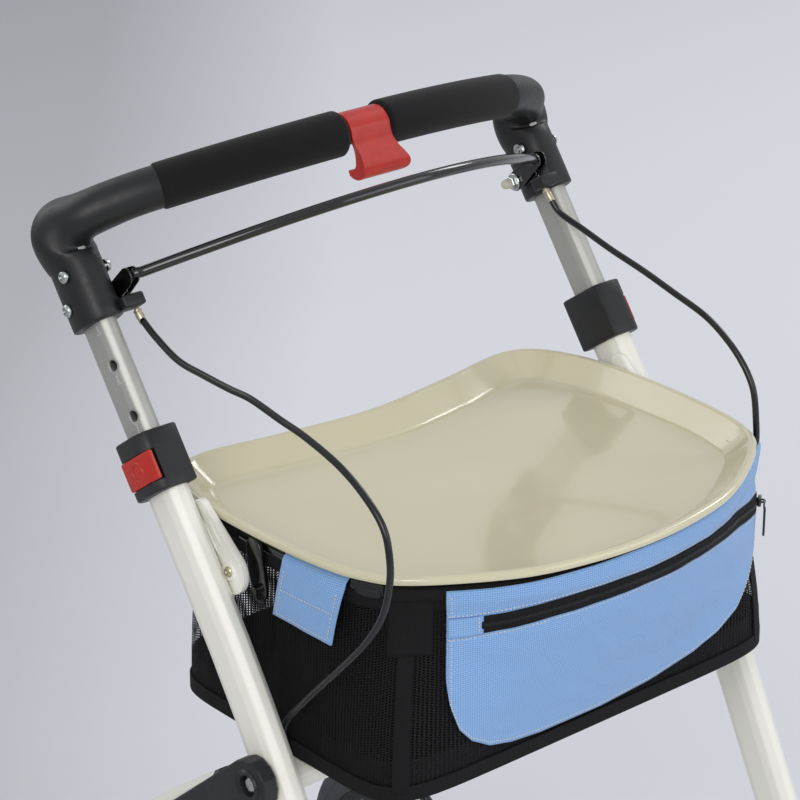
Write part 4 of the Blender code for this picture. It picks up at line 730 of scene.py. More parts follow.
def arch(step):
    """Rises and falls once in a step, down again in the next."""
    return reckon("SINE", times(step, math.pi))


def odd(step):
    """One in every second step and nothing in the others."""
    return reckon("ABSOLUTE", reckon("MODULO", step, 2.0))


def flat_parts(place):
    """The first two numbers of a place."""
    parts = add_node(place.id_data, "ShaderNodeSeparateXYZ", links={"Vector": place})
    return parts.outputs["X"], parts.outputs["Y"]


def cloth_places(shader):
    """Place on the flat cloth, in metres, as two numbers."""
    cloth = add_node(shader.id_data, "ShaderNodeAttribute", attribute_name="cloth")
    return flat_parts(cloth.outputs["Vector"])


def woven_nylon():
    """Coated basket-weave nylon: plump threads over and under, with painted highlights on their crests and
    painted shade between them.
    """
    colour = colours().cloth
    made, shader, _ = finish("woven_nylon", colour, 0.62, Sheen_Weight=0.25, Sheen_Roughness=0.45)
    # threads are drawn 1.6 mm apart so that the weave shows; the real ones are finer
    u, v = (times(place, 1 / sizes().weave_pitch) for place in cloth_places(shader))
    warp, weft = (reckon("ABSOLUTE", arch(step)) for step in (u, v))
    over = odd(plus(reckon("FLOOR", u), reckon("FLOOR", v)))
    warp_height, weft_height = (times(reckon("POWER", thread, 0.5), plus(times(crossing, 0.7), 0.3))
                                for thread, crossing in ((warp, weft), (weft, warp)))
    height = plus(times(warp_height, over), times(times(weft_height, 0.82), reckon("SUBTRACT", 1.0, over)))
    # painted light: lighter on the threads' crests, darker in the hollows between them
    painted_light_share = spread(height, 0, 1, 0.1, 0.85)
    feed(shader, "Base Color", tint(painted_light_share, shade(colour, 0.66), shade(colour, 1.12)))
    relief(shader, height, 0.00035)
    return made


def knitted_net():
    """Warp-knitted polyester net: black wales with small holes in rows, so that light shows through."""
    made, shader, _ = finish("knitted_net", colours().net, 0.7, Specular_IOR_Level=0.2)
    across, along = cloth_places(shader)
    pitch = sizes().net_pitch
    u, v = reckon("DIVIDE", across, pitch), reckon("DIVIDE", along, pitch * 0.72)
    half = times(odd(reckon("FLOOR", u)), 0.5)
    depth = times(arch(reckon("FRACT", u)), arch(reckon("FRACT", plus(v, half))))
    feed(shader, "Alpha", spread(depth, 1.0, 0.0, 0.46, 0.58))
    relief(shader, depth, -0.0004)
    return made


def woven_binding():
    """Black polyester tape over the seams: fine ribs across its width, with painted highlights on the ribs
    and painted shade between them.
    """
    colour = colours().net
    made, shader, _ = finish("woven_binding", colour, 0.75, Specular_IOR_Level=0.2)
    # ribs are drawn 1.2 mm apart so that they show
    rib = reckon("SINE", times(cloth_places(shader)[0], 2 * math.pi / 0.0012))
    # painted light: lighter on the ribs' crests, darker in the grooves between them
    feed(shader, "Base Color", tint(spread(rib, 0, 1, -1, 1), shade(colour, 0.7), shade(colour, 1.6)))
    relief(shader, rib, 0.00012)
    return made


PICTURE_RIGHT = (0.756, -0.655)         # the picture's way to the right, on the floor
PAINTED_SHADE_SPAN = (-0.54, -0.10)          # along it, where the floor's painted shade is darkest and where the floor is plain


def studio_floor():
    """Seamless paper: flat and even, with painted shade that makes it a little darker towards the left of the
    picture.
    """
    colour = colours().floor
    made, shader, place = finish("studio_floor", colour, 0.9, Specular_IOR_Level=0.1)
    rightwards = plus(*(times(part, share) for part, share in zip(flat_parts(place), PICTURE_RIGHT)))
    # the noise makes the edge of the painted shade uneven
    mottle = times(reckon("SUBTRACT", spots(place, 1.4, 2), 0.5), 0.2)
    share = spread(plus(rightwards, mottle), 0, 1, *PAINTED_SHADE_SPAN)
    # painted shade: the floor's colour darkens towards the left of the picture
    feed(shader, "Base Color", tint(share, shade(colour, 0.66), colour))
    return made


MATERIAL_MAKERS = {
    "cream_paint": powder_coated_tube,
    "silver_paint": anodised_tube,
    "black_plastic": lambda: moulded_nylon("moulded_nylon_black", colours().moulding, 0.44, 0.0005, 0.00003),
    "black_paint": coated_rod,
    "foam": grip_foam,
    "red_plastic": moulded_abs_red,
    "white_plastic": lambda: moulded_nylon("moulded_nylon_white", colours().bracket, 0.32, 0.0008, 0.00002),
    "tray_plastic": glossy_tray,
    "zinc_steel": zinc_plate,
    "cable_sheath": cable_sheath,
    "black_mesh": knitted_net,
    "blue_cloth": woven_nylon,
    "tyre_rubber": tyre_rubber,
    "binding": woven_binding,
    "thread": sewing_thread,
    "brass": turned_brass,
    "cap_nylon": cap_nylon,
    "print": printed_mark,
    "zip_coil": zip_coil,
    "floor": studio_floor,
}
MADE = {}


def material(slot):
    """The finish of a slot, made once."""
    if slot not in MADE:
        MADE[slot] = MATERIAL_MAKERS[slot]()
    return MADE[slot]


def dress(item, body, slot, *nodes):
    """The piece rides on a body and stands for these nodes; its slot is not used."""
    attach(item, body)
    if nodes:
        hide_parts(*nodes)
    return item


# Pieces

class ROLLATOR_OT_frame_finishes(bpy.types.Operator):
    """Gives every piece of the built frame the finish of its material"""

    bl_idname = "rollator.frame_finishes"
    bl_label = "Frame finishes"

    def execute(self, context):
        slots = {row["node"]: row["material_slot"] for row in frame["record"]["subparts"]}
        for name, item in NODES.items():
            for place in item.material_slots:
                place.material = material(slots[name])
        return {"FINISHED"}


# Handle

FOAM_EDGE = 0.0024


class ROLLATOR_OT_grip(bpy.types.Operator):
    """Makes the two foam sleeves of the grip"""

    bl_idname = "rollator.grip"
    bl_label = "Foam grip"

    def execute(self, context):
        radius = sizes().foam_radius
        quarter = np.linspace(0, math.pi / 2, 7)
        along, end_radii = FOAM_EDGE * (1 - np.cos(quarter)), radius - FOAM_EDGE * (1 - np.sin(quarter))
        for name, side in SIDES:
            start, end = GRIP_INNER_ENDS[name], GRIP_OUTER_END
            middle = np.linspace(start + FOAM_EDGE, end - FOAM_EDGE, 60)[1:-1]
            marks = np.concatenate([start + along, middle, end - along[::-1]])
            radii = np.concatenate([end_radii, np.full(len(middle), radius), end_radii[::-1]])
            axis = bowed(side * marks, HANDLE_MIDDLE, HANDLE_SHIFT)
            sleeve = skin(f"foam_sleeve_{name}", tube_rings(axis, radii, 64), "foam")
            dress(sleeve, "handle", "foam", f"foam_grip_{name}")
        return {"FINISHED"}


# Elbow sections along its length: share, half across, half front to back, squareness
ELBOW_SECTIONS = (
    (0.00, 0.0157, 0.0157, 2.0), (0.20, 0.0160, 0.0163, 2.0), (0.45, 0.0175, 0.0222, 2.1),
    (0.72, 0.0232, 0.0194, 2.1), (1.00, 0.0168, 0.0215, 2.3),
)
ELBOW_SWELL = (0.0046, 0.0052)          # bend's shift sideways and to the back at its fullest
# How far the bend's curve reaches: along the grip, outwards, up the tube and to its back
ELBOW_REACH = (0.0520, 0.0090, 0.0283, 0.0070)
ELBOW_BEND_LOW, ELBOW_BOTTOM = 0.1500, 0.1060
ELBOW_FACE = TUBE_PLANE + 0.0174        # outer face at the bolts
LUG_MIDDLE = (-0.0171, -0.0200, 0.1113)     # across, back and up
LUG_SIZE = (0.0182, 0.0150, 0.0094)
UPPER_BOLT = (-0.0074, 0.1437)          # back and up
PIVOT = np.array((0.0520, 0.8427))      # y, z


def elbow_rings(side, steps, count):
    """Rings along the elbow, from the foam grip to the bottom of its tube socket."""
    start, grip_end, past_end = (bowed(GRIP_OUTER_END + reach, HANDLE_MIDDLE, HANDLE_SHIFT)
                                 for reach in (0.0003, 0, 0.001))
    low = on_tube(1, 0, 0, ELBOW_BEND_LOW)
    along_grip, outwards, up_tube, to_back = ELBOW_REACH
    knots = (start, start + along_grip * unit(past_end - grip_end) + (outwards, 0, 0),
             low + up_tube * TUBE_UP + to_back * TUBE_BACK, low)
    sections = smooth_line(ELBOW_SECTIONS, 12)
    cosines, sines = circle(count)
    straight = ELBOW_BEND_LOW - ELBOW_BOTTOM
    # share of the bend, how far below it, how far drawn in
    stations = [(share, 0.0, 0.0) for share in np.linspace(0, 1, steps)]
    stations += [(1.0, drop, 0.0) for drop in np.linspace(0, straight - 0.0014, 7)[1:]]
    stations += [(1.0, straight - 0.0004, 0.0005), (1.0, straight, 0.0015)]
    rings = []
    for t, drop, inset in stations:
        weights = ((1 - t) ** 3, 3 * t * (1 - t) ** 2, 3 * t * t * (1 - t), t ** 3)
        centre = sum(weight * knot for weight, knot in zip(weights, knots)) - drop * TUBE_UP
        pulls = ((1 - t) ** 2, 2 * t * (1 - t), t * t)
        along = unit(sum(pull * (after - before) for pull, before, after in zip(pulls, knots, knots[1:])))
        straighten = np.clip((t - 0.8) / 0.2, 0, 1) ** 2
        along = unit(along * (1 - straighten) - TUBE_UP * straighten)
        back = unit(TUBE_BACK - TUBE_BACK.dot(along) * along)
        across = np.cross(along, back)
        half_u, half_v, power = (np.interp(t, sections[:, 0], sections[:, column]) for column in (1, 2, 3))
        swell = math.exp(-((t - 0.6) / 0.22) ** 2)
        centre = centre + swell * (ELBOW_SWELL[0] * across + ELBOW_SWELL[1] * back)
        u, v = ((half - inset) * np.sign(part) * np.abs(part) ** (2 / power)
                for half, part in ((half_u, cosines), (half_v, sines)))
        rings.append((centre + np.outer(u, across) + np.outer(v, back)) * (side, 1, 1))
    return np.array(rings)


class ROLLATOR_OT_elbows(bpy.types.Operator):
    """Makes the two moulded elbows with their cable lugs"""

    bl_idname = "rollator.elbows"
    bl_label = "Handle elbows"

    def execute(self, context):
        for name, side in SIDES:
            body = skin(f"elbow_{name}", elbow_rings(side, 44, 72), "black_plastic", True, 60)
            lug = round_block(f"lug_{name}", LUG_SIZE, on_tube(side, *LUG_MIDDLE), -UPPER_TILT,
                              "black_plastic", 0.0018)
            dress(joined(f"handle_elbow_shell_{name}", [body, lug]), "handle", "black_plastic",
                  f"handle_elbow_{name}")
        return {"FINISHED"}


def screw_head(name, place, axis, radius, height, slot):
    """A domed head with a cross recess."""
    profile = smooth_line(((0, height), (radius * 0.5, height * 0.93), (radius * 0.85, height * 0.62),
                           (radius, height * 0.2)), 4)
    head = turned(name, [*profile, (radius, 0), (0, 0)], place, axis, slot, 32)
    upright = Vector(axis).to_track_quat("Z", "Y").to_matrix()
    for step in range(2):
        turn = upright @ Matrix.Rotation(math.radians(20 + 90 * step), 3, "Z")
        blade = [[np.asarray(place) + np.array(turn @ Vector((x * length, y * width, z)))
                  for x, y in ((-1, -1), (1, -1), (1, 1), (-1, 1))]
                 for z, length, width in ((height * 1.4, radius * 0.62, radius * 0.17),
                                          (height * 0.25, radius * 0.25, radius * 0.10))]
        cutter = skin(f"{name}_recess_{step}", blade, slot)
        recess = head.modifiers.new("recess", "BOOLEAN")
        recess.operation = "DIFFERENCE"
        recess.solver = "EXACT"
        recess.object = cutter
        settle(head)
        head.data.set_sharp_from_angle(angle=math.radians(35))
        bpy.data.objects.remove(cutter)
    return head


# Turned forms, as (radius, distance along the axis)
NUT_FORM = ((0, 0.0018), (0.0026, 0.0018), (0.0030, 0.0010), (0.0045, 0.0010), (0.0049, 0.0004),
            (0.0049, -0.0020), (0, -0.0020))
WASHER_FORM = ((0, 0.0014), (0.0064, 0.0014), (0.0068, 0.0010), (0.0068, 0.0), (0, 0.0))
HEXAGON_FORM = ((0, 0.0052), (0.0046, 0.0052), (0.0052, 0.0046), (0.0052, 0.0014), (0, 0.0014))
CAP_FORM = ((0, 0.0124), (0.0016, 0.0122), (0.0030, 0.0113), (0.0038, 0.0098), (0.0042, 0.0052), (0, 0.0052))

# Each bolt: name, y and z, where its shank ends and its fittings sit (from the middle), and the fittings
BOLTS = (
    ("elbow_bolt", on_tube(1, 0, *UPPER_BOLT)[1:], TUBE_PLANE - 0.0190, TUBE_PLANE - 0.0190,
     (("nut", NUT_FORM, "zinc_steel", 24),)),
    ("brake_pivot_bolt", PIVOT, 0.1900, 0.1917,
     (("washer", WASHER_FORM, "zinc_steel", 32), ("collar", HEXAGON_FORM, "zinc_steel", 6),
      ("cap", CAP_FORM, "cap_nylon", 32))),
)


class ROLLATOR_OT_bolts(bpy.types.Operator):
    """Makes the elbow bolts and the brake pivots with their caps"""

    bl_idname = "rollator.bolts"
    bl_label = "Bolts"

    def execute(self, context):
        for name, side in SIDES:
            outwards = np.array((side, 0, 0))
            for tag, (y, z), inner, seat, fittings in BOLTS:
                face, end, under = (np.array((side * x, y, z)) for x in (ELBOW_FACE + 0.0002, inner, seat))
                pieces = [screw_head(f"{tag}_head_{name}", face, outwards, 0.0047, 0.0030, "zinc_steel"),
                          rod(f"{tag}_shank_{name}", [face, end], 0.0029, "zinc_steel", 20, 40)]
                pieces += [turned(f"{tag}_{part}_{name}", form, under, -outwards, slot, steps)
                           for part, form, slot, steps in fittings]
                dress(joined(f"{tag}_set_{name}", pieces), "handle", "zinc_steel", f"{tag}_{name}")
        return {"FINISHED"}


# The catch, in millimetres: outer and inner place of its wall round the grip's axis (y, z), and how far
# it reaches left and right
CATCH_SECTION = np.array((
    (9.2, -11.0, 7.5, -9.0, -24.0, 11.2), (14.1, -2.5, 11.5, -2.0, -24.3, 11.5),
    (12.4, 7.2, 10.1, 5.8, -24.5, 11.5), (4.9, 13.4, 4.0, 11.0, -24.5, 11.5),
    (-4.9, 13.4, -4.0, 11.0, -24.5, 11.5), (-12.4, 7.2, -10.1, 5.8, -24.5, 11.6),
    (-14.4, 0.0, -11.7, 0.0, -24.4, 11.9), (-15.2, -6.0, -11.2, -5.2, -22.8, 13.4),
    (-17.2, -12.5, -10.6, -12.0, -19.8, 16.8), (-19.5, -18.0, -11.0, -17.5, -19.0, 21.2),
    (-20.9, -23.5, -11.4, -22.2, -19.0, 25.0), (-20.6, -28.2, -10.6, -25.2, -19.0, 25.4),
    (-17.8, -32.1, -8.4, -27.0, -19.0, 22.6), (-13.0, -34.0, -6.0, -27.8, -19.0, 12.0),
    (-8.2, -33.8, -4.0, -28.4, -19.0, 5.0), (-4.6, -32.6, -3.0, -29.2, -19.0, 3.0),
)) / 1000


class ROLLATOR_OT_catch(bpy.types.Operator):
    """Makes the red parking catch: a collar on the grip's core, its web and the hook"""

    bl_idname = "rollator.catch"
    bl_label = "Parking catch"

    def execute(self, context):
        steps = 16
        shares = np.linspace(0, 1, steps + 1)
        middle_y, middle_z = HANDLE_MIDDLE
        rings = []
        for outer_y, outer_z, inner_y, inner_z, left, right in smooth_line(CATCH_SECTION, 5):
            across = left + shares * (right - left)
            rings.append([(x, middle_y + outer_y, middle_z + outer_z) for x in across]
                         + [(x, middle_y + inner_y, middle_z + inner_z) for x in across[::-1]])
        rings = np.array(rings)
        rows, columns = rings.shape[:2]
        faces = grid_faces(rows, columns, True)
        for first in (0, (rows - 1) * columns):
            last = first + columns - 1
            faces += [(first + step, first + step + 1, last - step - 1, last - step) for step in range(steps)]
        catch = piece("parking_catch", rings.reshape(-1, 3), faces, "red_plastic")
        round_edges(catch, 0.0008, steep=50)
        catch.data.shade_smooth()
        dress(catch, "latch", "red_plastic", "parking_latch")
        return {"FINISHED"}


# Height adjustment

BUTTON_RING_BACK = -0.0076              # where the pin, the holes and the numerals sit, to the tube's back
RAISED_RING_BACK = -0.0050
BUTTON_UP = -0.0028                     # button's middle
BUTTON_HALF = 0.0106                    # half its height
RECESS_HALF = 0.0112
BUTTON_FACE = 0.0202                    # its outer face, outwards from the tube's middle
COLLAR_HALF = 0.0215
COLLAR_EDGE = 0.0013
BUTTON_ROUNDING = ((0.0009, 0.0), (0.00035, 0.00025), (0.0, 0.0009))       # inset and rise
NUMERALS = (("1", 0.0990), ("2", 0.0615), ("3", 0.0245))
NUMERAL_HEIGHT = 0.0050
TUBE_FACE = 0.00825                     # height tube's outer face, outwards from its middle

# Sections square to the tube: outwards and to the back. The recess runs out at the collar's back.
COLLAR_BACK = (
    (0.0085, 0.0219), (0.0040, 0.0225), (-0.0100, 0.0225), (-0.0133, 0.0212), (-0.0145, 0.0180),
    (-0.0145, -0.0180), (-0.0133, -0.0212), (-0.0100, -0.0225), (0.0100, -0.0225),
)
COLLAR_SECTION = ((0.0190, -0.0152), (0.0190, 0.0105), (0.0176, 0.0140), (0.0135, 0.0190), *COLLAR_BACK,
                  (0.0134, -0.0216), (0.0160, -0.0193))
RECESS_SECTION = ((0.0114, -0.0224), (0.0114, 0.0105), (0.0114, 0.0140), (0.0114, 0.0206), *COLLAR_BACK,
                  (0.0104, -0.0225), (0.0109, -0.0225))
BUTTON_SECTION = (
    (0.0194, 0.0128), (0.0201, 0.0122), (0.0202, 0.0112), (0.0202, -0.0140), (0.0198, -0.0162),
    (0.0176, -0.0222), (0.0169, -0.0238), (0.0160, -0.0245), (0.0150, -0.0242), (0.0148, -0.0232),
    (0.0158, -0.0190), (0.0165, -0.0150), (0.0165, 0.0124), (0.0172, 0.0129),
)
RAISED_RING = ((0.0056, -0.0005), (0.0058, 0.0004), (0.0062, 0.0008), (0.0068, 0.0008), (0.0072, 0.0004),
               (0.0074, -0.0005))
RAISED_DOME = ((0, 0.0010), (0.0020, 0.0009), (0.0035, 0.0006), (0.0045, 0.0002), (0.0050, -0.0004))


class ROLLATOR_OT_height_buttons(bpy.types.Operator):
    """Makes the height collars and their red buttons with raised rings"""

    bl_idname = "rollator.height_buttons"
    bl_label = "Height buttons"

    def execute(self, context):
        edge = COLLAR_EDGE
        rounding = ((edge, 0), (edge * 0.3, edge * 0.3), (0, edge))
        foot, head = rounded_ends(COLLAR_SECTION, 0, COLLAR_HALF, rounding)
        low, high = BUTTON_UP - RECESS_HALF, BUTTON_UP + RECESS_HALF
        collar = [*foot, (COLLAR_SECTION, low), (RECESS_SECTION, low), (RECESS_SECTION, high),
                  (COLLAR_SECTION, high), *head]
        foot, head = rounded_ends(BUTTON_SECTION, BUTTON_UP, BUTTON_HALF, BUTTON_ROUNDING)
        for name, side in SIDES:
            dress(along_tube(f"collar_{name}", side, collar, "black_plastic"), "frame", "black_plastic",
                  f"height_collar_{name}")
            middle = on_tube(side, BUTTON_FACE - 0.0001, -side * RAISED_RING_BACK, BUTTON_UP)
            pin = [on_tube(side, across, BUTTON_RING_BACK, BUTTON_UP)
                   for across in (BUTTON_FACE - 0.002, TUBE_FACE + 0.0004)]
            pieces = [
                along_tube(f"button_plate_{name}", side, foot + head, "red_plastic"),
                turned(f"button_ring_{name}", RAISED_RING, middle, (side, 0, 0), "red_plastic", 48),
                turned(f"button_dome_{name}", RAISED_DOME, middle, (side, 0, 0), "red_plastic", 40),
                rod(f"button_pin_{name}", pin, 0.0035, "red_plastic", 16, 40),
            ]
            dress(joined(f"height_button_{name}", pieces), f"button_{name}", "red_plastic",
                  f"lock_button_{name}")
        return {"FINISHED"}


class ROLLATOR_OT_numerals(bpy.types.Operator):
    """Prints the numerals and their marks on the height tubes"""

    bl_idname = "rollator.numerals"
    bl_label = "Height numerals"

    def execute(self, context):
        for name, side in SIDES:
            turn = Matrix([(0, 0, side), (side * TUBE_BACK[1], TUBE_UP[1], 0),
                           (side * TUBE_BACK[2], TUBE_UP[2], 0)])
            marks = []
            for text, up in NUMERALS:
                letter = bpy.data.curves.new("numeral", "FONT")
                letter.body = text
                letter.size = NUMERAL_HEIGHT * 1.4
                letter.align_x = "CENTER"
                letter.extrude = 0.00003
                writing = put("numeral", letter)
                context.view_layer.update()
                strokes = bpy.data.meshes.new_from_object(
                    writing.evaluated_get(context.evaluated_depsgraph_get()))
                bpy.data.objects.remove(writing)
                place = on_tube(side, TUBE_FACE + 0.00003, BUTTON_RING_BACK, up)
                strokes.transform(Matrix.Translation(place) @ turn.to_4x4())
                strokes.materials.clear()
                strokes.materials.append(material("print"))
                marks.append(put(f"numeral_{name}_{text}", strokes))
                marks.append(round_block(f"mark_{name}_{text}", (0.0001, 0.0070, 0.0004),
                                         on_tube(side, TUBE_FACE + 0.00002, BUTTON_RING_BACK, up - 0.0014),
                                         -UPPER_TILT, "print", 0.00002, 1))
            dress(joined(f"height_marks_{name}", marks), "handle", "silver_paint")
        return {"FINISHED"}


# Brake

ARM_TOP = np.array((0.0305, 0.8655))        # y, z
ARM_PLATES = ((0.1920, 0.1934), (0.1984, 0.1998))   # the arm's two cheeks, from the middle
ARM_WEB = (0.1928, 0.1990)
ROD_CORNER = 0.1890                     # where the rod turns into its arm
ROD_END_BEND = ((0.1957, 0.0290, 0.8680), (0.1957, 0.0380, 0.8590))     # corner and end


class ROLLATOR_OT_brake_bar(bpy.types.Operator):
    """Makes the brake bar: a bowed rod with a forked arm at each end"""

    bl_idname = "rollator.brake_bar"
    bl_label = "Brake bar"

    def execute(self, context):
        middle = bowed(np.linspace(-ROD_CORNER, ROD_CORNER, 90), BAR_MIDDLE, BAR_SHIFT)
        ends = []
        for side in (-1, 1):
            start = bowed(side * ROD_CORNER, BAR_MIDDLE, BAR_SHIFT)
            corner, end = (np.array(knot) * (side, 1, 1) for knot in ROD_END_BEND)
            ends.append([start * (1 - t) ** 2 + corner * 2 * t * (1 - t) + end * t ** 2
                         for t in np.linspace(0.1, 1, 10)])
        line = np.array([*reversed(ends[0]), *middle, *ends[1]])
        pieces = [rod("bar_rod", line, sizes().bar_radius, "black_paint", 24, 60)]
        for name, side in SIDES:
            for index, (near, far) in enumerate(ARM_PLATES):
                pieces.append(side_plate(f"arm_cheek_{name}_{index}", capsule(ARM_TOP, PIVOT, 0.0065, 0.0075),
                                         side * near, side * far, "black_paint", 0.0004))
            web = [ARM_TOP + (0.0055, 0.0030), PIVOT + (0.0055, 0.0045), PIVOT + (0.0040, 0.0060),
                   ARM_TOP + (0.0025, 0.0058)]
            near, far = ARM_WEB
            pieces.append(side_plate(f"arm_web_{name}", web, side * near, side * far, "black_paint", 0.0004))
        dress(joined("brake_bar_rod", pieces), "brake_lever", "black_paint", "brake_bar")
        return {"FINISHED"}


# How far out the cable runs: by the ferrule, in its loop, and its outer face at the hinge
CABLE_OUT = (0.1995, 0.2020, TUBE_PLANE - 0.0108)
FERRULE_FORM = (
    (0, 0), (0.0018, 0), (0.0018, 0.0012), (0.0031, 0.0013), (0.0031, 0.0030), (0.0024, 0.0032),
    (0.0024, 0.0040), (0.0031, 0.0042), (0.0031, 0.0062), (0.0028, 0.0085), (0.0028, 0.0115), (0, 0.0115),
)


class ROLLATOR_OT_brake_cables(bpy.types.Operator):
    """Makes the brake cables from the brake arms to the fold hinges, with their brass ends"""

    bl_idname = "rollator.brake_cables"
    bl_label = "Brake cables"

    def execute(self, context):
        radius = sizes().cable_radius
        at_ferrule, in_loop, at_hinge = CABLE_OUT
        for name, side in SIDES:
            loop = CABLE_LOOPS[name]
            out = [at_ferrule] + [in_loop] * (len(loop) - 3) + [at_hinge - radius] * 2
            knots = [WIRE_TOP + FERRULE_END * WIRE_DIRECTION, *((x, y, z) for x, (y, z) in zip(out, loop))]
            line = even_line(smooth_line(knots, 8) * (side, 1, 1), 0.004)
            sheath = rod(f"cable_sheath_{name}", line, radius, "cable_sheath", 20)
            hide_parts(f"brake_cable_{name}")
            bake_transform(sheath)
            ferrule_start, *wire = ((WIRE_TOP + reach * WIRE_DIRECTION) * (side, 1, 1)
                                    for reach in (FERRULE_START, 0.0035, 0.0120, 0.0205))
            dress(turned(f"cable_ferrule_{name}", FERRULE_FORM, ferrule_start, WIRE_DIRECTION, "brass", 32),
                  "handle", "zinc_steel")
            dress(rod(f"brake_wire_{name}", wire, 0.0008, "zinc_steel", 10), "handle", "zinc_steel")
        return {"FINISHED"}


# Tray and its wire

# From the lip's edge to the floor: how far in from the outline and up from the rim
TRAY_SECTION = (
    (0.0008, -0.0056), (0.0001, -0.0040), (0.0, -0.0024), (0.0010, -0.0006), (0.0032, 0.0),
    (0.0052, -0.0004), (0.0068, -0.0016), (0.0140, -0.0080), (0.0200, -0.0130), (0.0232, -0.0154),
    (0.0270, -0.0169), (0.0320, -0.0172),
)
EAR_TOP, EAR_LOW = (-0.1040, WIRE_Z - 0.0010), (-0.1090, WIRE_Z - 0.0300)   # y, z
EAR_X = (0.1935, 0.1965)
RIVET_FORM = ((0, 0.0016), (0.0018, 0.0014), (0.0031, 0.0006), (0.0034, -0.0004))
CLIP_TURNS = (0.3260, 0.6740)           # along the wire, from the middle of its back
CLIP_HALF = 0.0085                      # half its length, as a share of the way round
CLIP_BLOCK = (0.0240, 0.0100, 0.0062)


class ROLLATOR_OT_tray(bpy.types.Operator):
    """Makes the serving tray with its rolled lip and sloping wall"""

    bl_idname = "rollator.tray"
    bl_label = "Serving tray"

    def execute(self, context):
        count = 240
        turns = np.arange(count) / count
        floor_inset, floor_drop = TRAY_SECTION[-1]
        floor_edge, centre = outline_at(turns, floor_inset), np.array((0, -0.14))
        lines = [(outline_at(turns, inset), drop) for inset, drop in smooth_line(TRAY_SECTION, 4)]
        lines += [(centre + share * (floor_edge - centre), floor_drop) for share in (0.85, 0.6, 0.35, 0.1)]
        rings = np.array([np.column_stack([flat, np.full(count, TRAY_RIM_Z + drop)]) for flat, drop in lines])
        rows = len(rings)
        faces = grid_faces(rows, count, True) + [tuple((rows - 1) * count + at for at in range(count))]
        item = piece("tray_shell", rings.reshape(-1, 3), faces, "tray_plastic")
        up = max(item.data.polygons, key=lambda face: face.area).normal.z
        thicken(item, sizes().tray_thickness, -1 if up > 0 else 1)
        item.data.set_sharp_from_angle(angle=math.radians(60))
        dress(item, "serving_tray", "tray_plastic", "tray")
        return {"FINISHED"}


class ROLLATOR_OT_wire_frame(bpy.types.Operator):
    """Makes the wire that carries the basket and tray, with its ears, rivets and clips"""

    bl_idname = "rollator.wire_frame"
    bl_label = "Basket wire"

    def execute(self, context):
        pieces = [wire_sleeve("frame_ring", np.linspace(0, 1, 301), sizes().wire_radius, 16, "black_paint",
                              ends=False)]
        near, far = EAR_X
        stub_z = WIRE_Z - 0.0011
        for name, side in SIDES:
            pieces.append(side_plate(f"frame_ear_{name}", capsule(EAR_TOP, EAR_LOW, 0.0085, 0.0085),
                                     side * near, side * far, "black_paint", 0.0006))
            for index, (y, z) in enumerate(((EAR_TOP[0], EAR_TOP[1] - 0.0060), EAR_LOW)):
                pieces.append(turned(f"frame_rivet_{name}_{index}", RIVET_FORM, (side * near, y, z),
                                     (-side, 0, 0), "zinc_steel", 24))
            for tag, line, radius in (
                    ("stub", [(0.1868, EAR_TOP[0], stub_z), (0.1945, EAR_TOP[0], stub_z)], 0.0035),
                    ("pin", [(far, *EAR_LOW), (0.2010, *EAR_LOW)], 0.0038)):
                pieces.append(rod(f"frame_{tag}_{name}", np.array(line) * (side, 1, 1), radius, "black_paint",
                                  16, 40))
        dress(joined("basket_wire", pieces), "frame", "black_paint", "basket_frame")
        clips = []
        for index, turn in enumerate(CLIP_TURNS):
            across = np.linspace(-1, 1, 9)
            bulge = 0.0062 - 0.0012 * np.abs(across) ** 4
            clips.append(wire_sleeve(f"clip_{index}", turn + CLIP_HALF * across, bulge, 24, "black_plastic"))
            block = round_block(f"clip_block_{index}", CLIP_BLOCK, (0, 0, 0), 0, "black_plastic", 0.0014)
            run = wire_at(turn + 0.004) - wire_at(turn - 0.004)
            block.data.transform(Matrix.Translation(wire_at(turn, 0.0010, 0.0046))
                                 @ Matrix.Rotation(math.atan2(run[1], run[0]), 4, "Z"))
            clips.append(block)
        dress(joined("wire_clips", clips), "frame", "black_plastic")
        return {"FINISHED"}


BRACKET_TOP, BRACKET_LOW = (-0.0130, -0.0420), (-0.0170, -0.0900)     # back and up from the collar
BRACKET_RADII = (0.0075, 0.0170)
BRACKET_X = (0.2014, 0.2063)
BRACKET_RIBS = ((0.0030, 0.006, 0.034), (-0.0045, 0.008, 0.030))      # beside the middle line, and along it
RIB_RADII = (0.0004, 0.0011, 0.0011, 0.0011, 0.0011, 0.0004)
BOSS_FORM = ((0, 0.0006), (0.0056, 0.0006), (0.0064, 0.0012), (0.0072, 0.0006), (0.0076, -0.0006))


